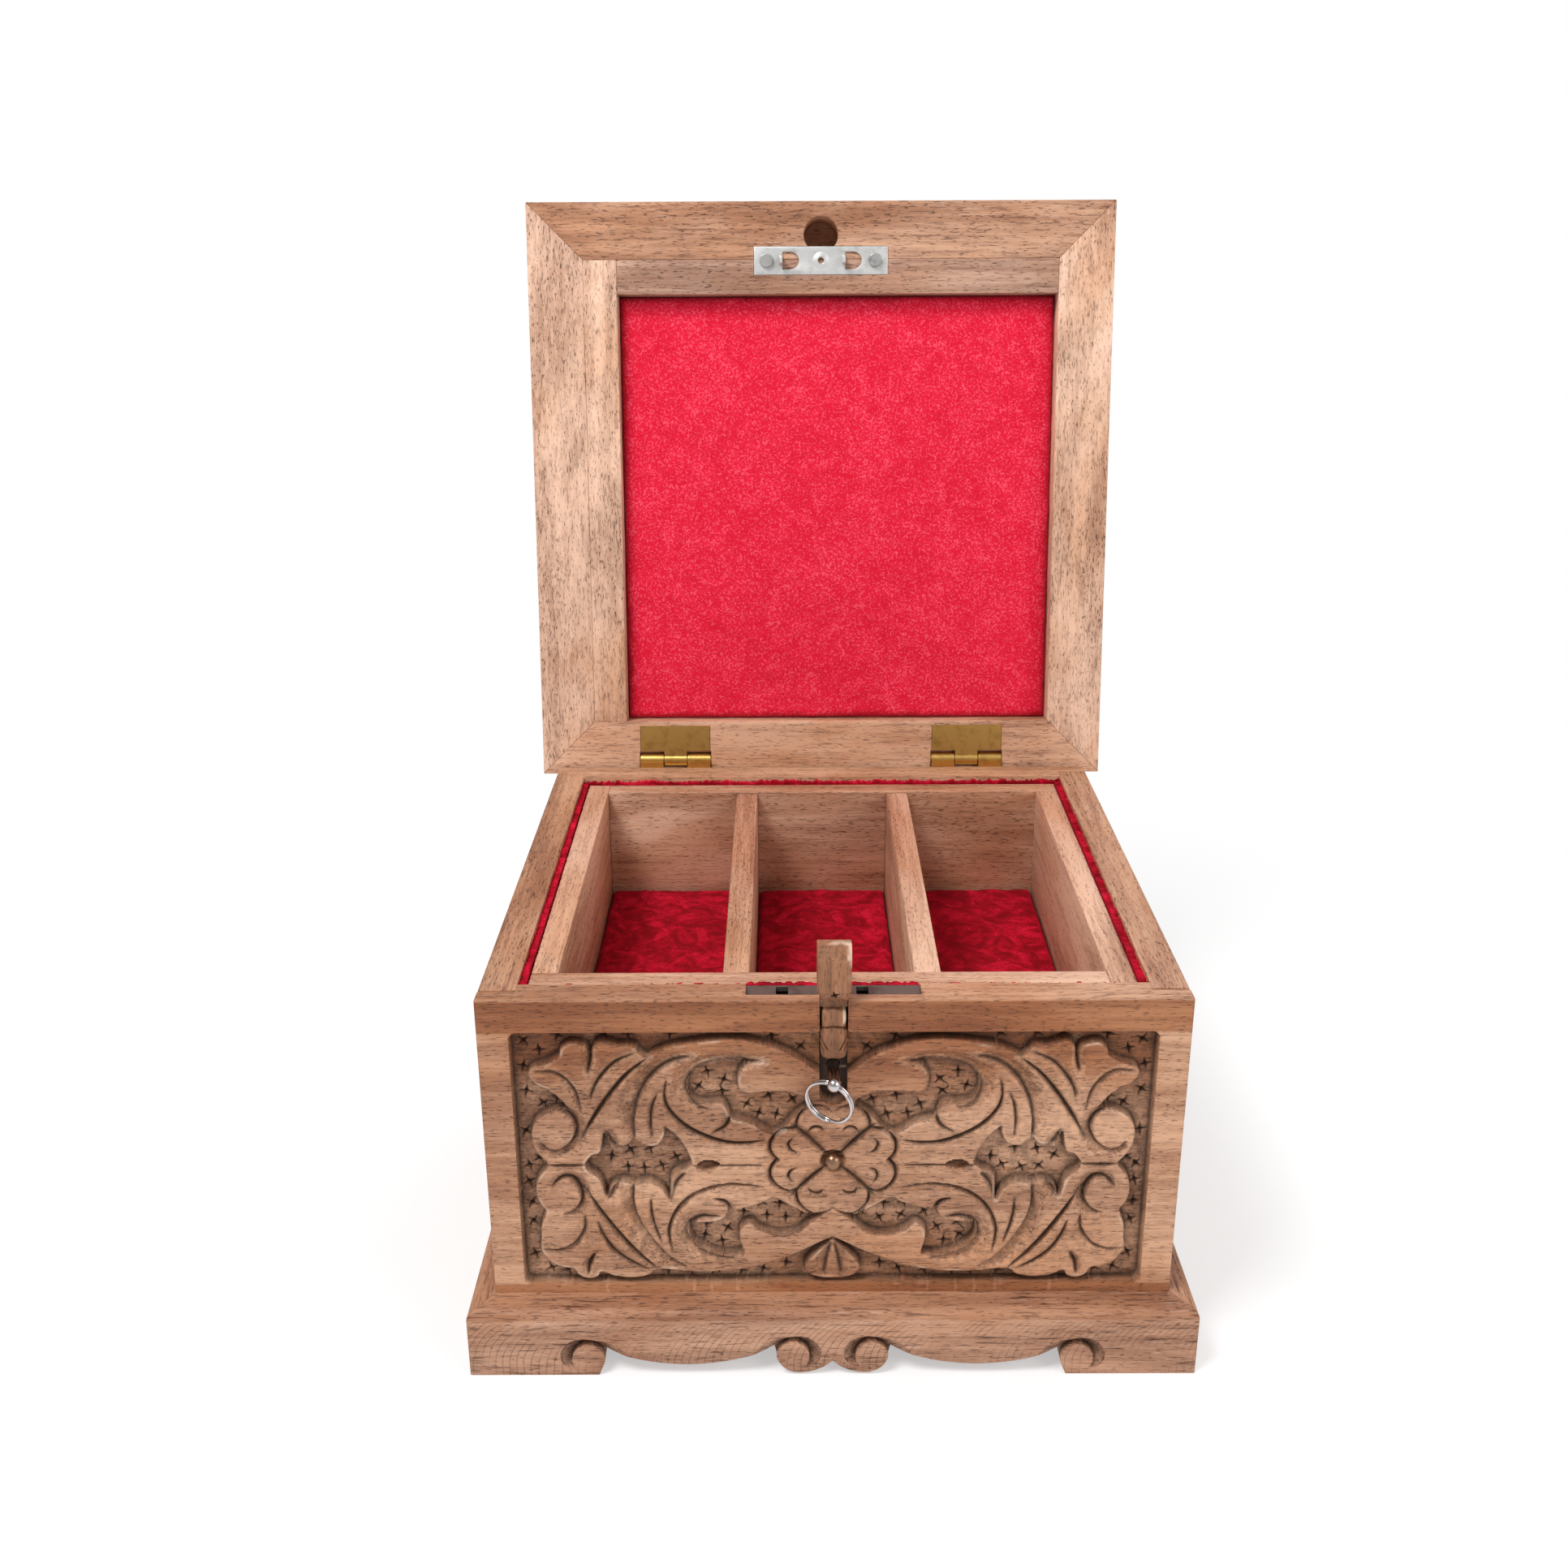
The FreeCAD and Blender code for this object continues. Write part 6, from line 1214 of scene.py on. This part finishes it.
RING_RADIUS, WIRE, RING_GAP = 6.2, 0.45, 5.14
hang = (Matrix.Rotation(math.radians(-22), 3, "Z") @ Matrix.Rotation(math.radians(16), 3, "Y")
        @ Matrix.Rotation(math.radians(10), 3, "X"))
ring_centre = Vector((0, FRONT_Y - RING_GAP, RIM - KEY_DROP)) - hang @ Vector((0, 0, RING_RADIUS))
route = []
for t in np.linspace(0.05, 1.97, 150):
    step = (smooth_step((t - 0.97) / 0.12) * 2 - 1) * 0.4
    angle = 2 * math.pi * t + 2.6
    local = Vector((math.sin(angle) * RING_RADIUS, step, math.cos(angle) * RING_RADIUS))
    route.append((ring_centre + hang @ local) * MM)
ring = piece("split_ring", *wire_tube(route, WIRE * MM), "key_ring", bright_nickel, "key_ring",
             "key_nickel")
print("split ring", round(ring.dimensions.x / MM, 1), "mm wide")

# %% [markdown]
# ## Strike plate
#
# The plate in the lid is stamped from thin nickel-plated sheet: two D-shaped windows, each with
# its flap bent up into a loop, a small hole in the middle and a nail near each end. A flat
# curve with several closed splines fills itself around its holes, and its bevel gives the
# rolled edge of a stamping.

# %% Stampings
def arc_points(cx, cy, radius, first, last, count=14):
    return [(cx + radius * math.cos(math.radians(a)), cy + radius * math.sin(math.radians(a)))
            for a in np.linspace(first, last, count)]


def stamped(outlines, thick, bevel=0.12):
    """A thin plate from closed outlines in millimetres, the first one outside and the rest holes."""
    curve = bpy.data.curves.new("stamping", "CURVE")
    curve.dimensions, curve.fill_mode, curve.offset = "2D", "BOTH", -bevel
    curve.extrude, curve.bevel_depth, curve.bevel_resolution = thick / 2 - bevel, bevel, 2
    for outline in outlines:
        spline = curve.splines.new("POLY")
        spline.points.add(len(outline) - 1)
        spline.points.foreach_set("co", [value for a, b in outline for value in (a, b, 0, 1)])
        spline.use_cyclic_u = True
    holder = linked("stamping", curve)
    mesh = evaluated_mesh(holder)
    bpy.data.objects.remove(holder)
    return mesh


print("stamping maker ready")

# %% Strike plate
PLATE_HALF, PLATE_SIDE, LOOPS = 21.75, 4.4, (-13.0, 7.4)
LOCK_IN_LID = 5.2 + 2.8 - (BACK_Y - FRONT_Y) - (HINGE.y - BACK_Y)
plate_outline = [(hand * x, hand * y) for hand in (-1, 1) for x, y in (
    (PLATE_HALF, PLATE_SIDE), (-PLATE_HALF, PLATE_SIDE), (-PLATE_HALF, 1.2), (-21.8, 1.0),
    (-21.8, -1.0), (-PLATE_HALF, -1.2))]
windows = [[(loop + 0.5, -2.75), (loop + 0.5, 2.75)] + arc_points(loop + 3.1, 0, 2.75, 90, -90)
           for loop in LOOPS]
plate = stamped([plate_outline, arc_points(0, 0, 1.0, 0, 337, 16)] + windows, 0.8)
flap = ([(-1.4, 0.3)] + arc_points(-0.7, -4.8, 0.7, 180, 270, 5)
        + arc_points(0.7, -4.8, 0.7, 270, 360, 5) + [(1.4, 0.3)])
bm = bmesh.new()
bm.from_mesh(plate)
for loop in LOOPS:
    tab = stamped([flap, arc_points(0, -3.9, 0.95, 0, 337, 14)], 1.0)
    tab.transform(Matrix(((0, 0, 1, loop), (1, 0, 0, 0), (0, 1, 0, 0.1), (0, 0, 0, 1))))
    bm.from_mesh(tab)
collar = [(1.05, -0.1), (1.0, -0.5), (1.3, -0.72), (1.7, -0.66), (2.3, -0.5), (2.9, -0.36)]
rings = [[bm.verts.new((r * math.cos(a), r * math.sin(a), z)) for a in np.radians(range(0, 360, 15))]
         for r, z in collar]
for one, two in zip(rings[:-1], rings[1:]):
    for k in range(len(one)):
        bm.faces.new((one[k], one[k - 1], two[k - 1], two[k]))
for vertex in bm.verts:
    vertex.co = lid_place(vertex.co.x, vertex.co.y + LOCK_IN_LID, vertex.co.z + LID_FACE + 0.4)
bmesh.ops.remove_doubles(bm, verts=bm.verts, dist=1e-6)
strike = finished(mesh_of("stamped_strike", bm), "lid", nickel, "strike_plate", 30)
print("strike plate", len(strike.data.polygons), "faces")

# %% [markdown]
# ## Velvet
#
# The lining is thin crushed velvet glued over card. It isn't padded, so it follows the walls,
# with soft creases where the glue has let go and a fluffy cut edge along the rim. Each sheet is
# the carved-board maker again, with creases in place of carving: a cloth simulation would sag a
# glued sheet that really can't sag. Where the tray slides past, the creases stay under half a
# millimetre. The trays' floors and the lid's panel are lightly padded, so they crown in the
# middle and are tucked in at their edges.

# %% Creases and sheets
def creases(u, v, seed, longest):
    """Soft creases from 0 to 1: ridges along a few warped directions."""
    rng = np.random.default_rng(seed)
    x, z = np.meshgrid(u, v)
    warp = sum(np.sin(x / rng.uniform(9, 24) + z / rng.uniform(9, 24) + rng.uniform(0, 6))
               for _ in range(4))
    total = np.zeros_like(x)
    for _ in range(7):
        angle, wave = rng.uniform(0, math.pi), rng.uniform(0.35, 1.0) * longest
        phase = (x * math.cos(angle) + z * math.sin(angle)) / wave * 2 * math.pi + warp * 0.8
        total += (1 - np.abs(np.sin((phase + rng.uniform(0, 6)) / 2))) ** 3
    return np.clip(total / 2.6, 0, 1)


def velvet_sheet(side, start, across, up, u, v, thick, room, seed):
    """A glued sheet of the lining; room says how far it may stand off at each height."""
    x, z = np.meshgrid(u, v)
    space = np.interp(z, *room)
    over_lock = 0
    if side == "front":
        over_lock = smooth_step((22.6 - np.abs(x)) / 1.4) * smooth_step((z - 77.4) / 1.4)
        space = space * (1 - over_lock)
    depth = -space * creases(u, v, seed, 34.0)
    rng = np.random.default_rng(seed + 50)
    depth = depth - 0.12 * blur(rng.normal(0, 1, depth.shape), 1) * np.minimum(space, 1)
    if side != "floor":
        # The cut edge is fluffy, but stays below the closed lid.
        near = np.clip(1 - (v[-1] - z) / 1.0, 0, 1)
        tuft = np.abs(blur(rng.normal(0, 1, depth.shape), 1))
        under_lid = v[-1] + np.where((side == "front") & (np.abs(x) < 23), -0.15, 0.15)
        z = np.minimum(z + near * (tuft * 1.5 - 0.7), under_lid)
        depth = depth - near * tuft * 0.35
    if side == "front":
        depth = np.where(over_lock > 0, np.maximum(depth, -0.3), depth) - 1.53 * over_lock
    return carved_board("velvet_" + side, start, across, up, (x, z, depth), None, thick, "case", velvet,
                        "lining_" + side, "velvet")


def even_lines(low, high, step):
    return np.linspace(low, high, max(3, int(round((high - low) / step)) + 1))


print("sheet maker ready")

# %% Lining of the walls and the floor
# Heights and how far the velvet may stand off there: the tray slides past above 64 mm.
WALL_ROOM, FLOOR_ROOM = ([22, 55, 64, 66, 108], [2.2, 2.2, 0.5, 0.32, 0.3]), ([-200, 200], [3.0, 3.0])
POCKETS = (((-20.7, -98, 78.9), (20.7, -94.3, 106.3)), ((-22.4, -98, 106.0), (22.4, -95.8, 112)))
for side, across, axis in (("front", (-1, 0, 0), 1), ("back", (1, 0, 0), 1), ("left", (0, 1, 0), 0),
                           ("right", (0, -1, 0), 0)):
    low, high = solid_box("lining_" + side, np.array)
    run = 1 - axis
    start = [0.0, 0.0, 0.0]
    start[axis] = high[axis] if side in ("front", "left") else low[axis]
    u = even_lines(*sorted((across[run] * low[run], across[run] * high[run])), 0.55)
    v = np.concatenate([even_lines(low[2], high[2] - 2.0, 0.9), np.linspace(high[2] - 1.6, high[2], 6)])
    sheet = velvet_sheet(side, start, Vector(across), UPWARD, u, v, high[axis] - low[axis], WALL_ROOM,
                         60 + len(side) + ord(side[0]))
    for corners in POCKETS if side == "front" else ():
        bm = bmesh.new()
        bmesh.ops.create_cube(bm, size=1.0)
        for vertex in bm.verts:
            vertex.co = Vector([corners[int(c > 0)][k] for k, c in enumerate(vertex.co)]) * MM
        cut_away(sheet, bm, "MANIFOLD")
    wall = "eased_back_wall" if side == "back" else "carved_" + side
low, high = solid_box("lining_floor", np.array)
u, v = even_lines(low[0], high[0], 1.0), even_lines(low[1], high[1], 1.0)
AWAY = Vector((0, 1, 0))
sheet = velvet_sheet("floor", (0, 0, high[2]), ACROSS, AWAY, u, v, high[2] - low[2], FLOOR_ROOM, 91)
print("lining done")

# %% Padded panels
def soft_pad(name, start, across, up, u, v, thick, body, material, replaced, slot, seed, tuck, crown):
    """A card panel whose velvet crowns in the middle and is tucked in, with puckers, at its edges."""
    x, z = np.meshgrid(u, v)
    edge = np.minimum(np.minimum(x - u[0], u[-1] - x), np.minimum(z - v[0], v[-1] - z))
    pucker = blur(np.random.default_rng(seed).normal(0, 1, x.shape), 6)
    pucker = pucker / np.abs(pucker).max()
    depth = tuck * np.clip(1 - edge / (2.2 + 1.6 * pucker), 0, 1) ** 2
    depth = depth - crown * smooth_step(edge / min(u[-1] - u[0], v[-1] - v[0]) * 2.2)
    depth = depth - crown * 0.25 * creases(u, v, seed + 3, 46.0) * smooth_step(edge / 4)
    pad = carved_board(name, start, across, up, (x, z, depth), None, thick, body, material, replaced,
                       slot)


for side in ("left", "middle", "right"):
    low, high = solid_box("tray_pad_" + side, np.array)
    soft_pad("velvet_tray_" + side, (0, 0, high[2]), ACROSS, AWAY, even_lines(low[0], high[0], 0.7),
             even_lines(low[1], high[1], 0.9), high[2] - low[2], "tray", velvet, "tray_pad_" + side,
             "velvet", 70 + len(side), 1.8, 0.5)
VELVET_THICK = 6.0
inner = LID_HALF - LID_RAIL
soft_pad("velvet_lid", lid_place(0, 0, LID_FACE + VELVET_THICK) / MM, -ACROSS, lid_up,
         even_lines(-inner, inner - LID_STRIP, 0.9),
         even_lines(LID_FRONT + LID_RAIL + LID_STRIP, LID_REAR - LID_RAIL, 0.9), VELVET_THICK - 0.02,
         "lid", lid_velvet, "lid_velvet", "lid_velvet", 83, 2.4, 1.6)
print("pads done")

# %% [markdown]
# ## Materials on the frame's own solids
#
# Some solids already have the shape of the real piece: the hinges, the lock, the nails, the
# key and the boards that nobody sees. They stay as the frame has them and only take a finish.

# %% Keep and dress
hinge_parts = [f"hinge_{side}_{part}" for side in ("left", "right")
               for part in ("body_leaf", "body_screws", "pin", "lid_leaf", "lid_screws")]
for material, names in ((plywood, ["bottom_board", "tray_bottom"]),
                        (tray_deep, ["tray_runner_left", "tray_runner_right"]),
                        (brass, hinge_parts),
                        (lock_steel, ["lock_top_plate", "lock_case", "lock_bolt", "lock_cam"]),
                        (nail_nickel, ["strike_nail_left", "strike_nail_right"]),
                        (bright_nickel, ["key"]), (bronze_nail, ["rosette_nail"])):
    for name in names:
        for slot in nodes[name].material_slots:
            slot.material = material
    print(material.name, "on", len(names))

# %% [markdown]
# ## Floor, light and camera
#
# A pale floor lies under the chest. One large soft lamp from the upper left and
# front shapes the carving, and two weaker ones fill the shade. The lamps are kept plain, so each
# colour comes out about as it was written. The camera sees the floor fade into plain white away
# from the chest, while the light that the floor throws back onto the wood stays soft.

# %% Floor
SKY, SEEN_SKY = 0.45, 0.55
floor_mesh = bpy.data.meshes.new("floor")
floor_mesh.from_pydata([(-3, -3, 0), (3, -3, 0), (3, 3, 0), (-3, 3, 0)], [], [(0, 1, 2, 3)])
floor = linked("floor", floor_mesh)
floor_material, tree, shader = new_material("floor_white")
tree.fill(shader, Base_Color=colour(252, 252, 252), Roughness=0.9)
rays = tree.add("LightPath").outputs
mirrored = tree.larger(rays["Is Glossy Ray"], rays["Is Transmission Ray"])
seen = tree.larger(rays["Is Camera Ray"], mirrored)
from_chest = tree.add("VectorMath", operation="LENGTH")
tree.join(tree.add("TexCoord").outputs["Object"], from_chest.inputs[0])
far = tree.ramp(from_chest.outputs["Value"], 0.12, 0.36)
blend = tree.add("MixShader")
tree.join(tree.times(seen, tree.plus(SKY, tree.times(far, SEEN_SKY))), blend.inputs[0])
tree.join(shader.outputs[0], blend.inputs[1])
tree.join(tree.add("Emission").outputs[0], blend.inputs[2])
tree.join(blend.outputs[0], floor_material.node_tree.nodes["Material Output"].inputs["Surface"])
floor_mesh.materials.append(floor_material)
print("floor", [round(size, 1) for size in floor.dimensions])

# %% Sky and lamps
world = bpy.data.worlds.new("studio")
bpy.context.scene.world = world
world.use_nodes = True
tree = Tree(world.node_tree)
rays = tree.add("LightPath").outputs
seen = tree.larger(rays["Is Camera Ray"], rays["Is Transmission Ray"])
strength = tree.plus(SKY, tree.times(seen, SEEN_SKY))
tree.fill(world.node_tree.nodes["Background"], Color=WHITE, Strength=strength)
for name, place, aim, size, power in (("key_lamp", (-0.5, -0.55, 1.2), 0.1, 0.45, 13.0),
                                      ("fill_lamp", (0.9, -0.7, 0.7), 0.1, 0.7, 5.0),
                                      ("back_lamp", (0.35, 0.9, 1.0), 0.15, 0.6, 5.0)):
    lamp = bpy.data.lights.new(name, "AREA")
    lamp.energy, lamp.size = power, size
    holder = linked(name, lamp)
    holder.location = place
    holder.rotation_euler = (Vector((0, 0, aim)) - Vector(place)).to_track_quat("-Z", "Y").to_euler()
bpy.context.scene.view_settings.view_transform = "Standard"
print("lamps", len(bpy.data.lights))

# %% Camera
camera_data = bpy.data.cameras.new("camera")
camera_data.lens, camera_data.sensor_width = 38.475, 36.0
camera = linked("camera", camera_data)
camera.location = Vector((-11.12, -478.49, 306.08)) * MM
camera.rotation_euler = [math.radians(angle) for angle in (69.41739, 0.25862, 0.07311)]
bpy.context.scene.camera = camera
print("camera", [round(value, 3) for value in camera.location])
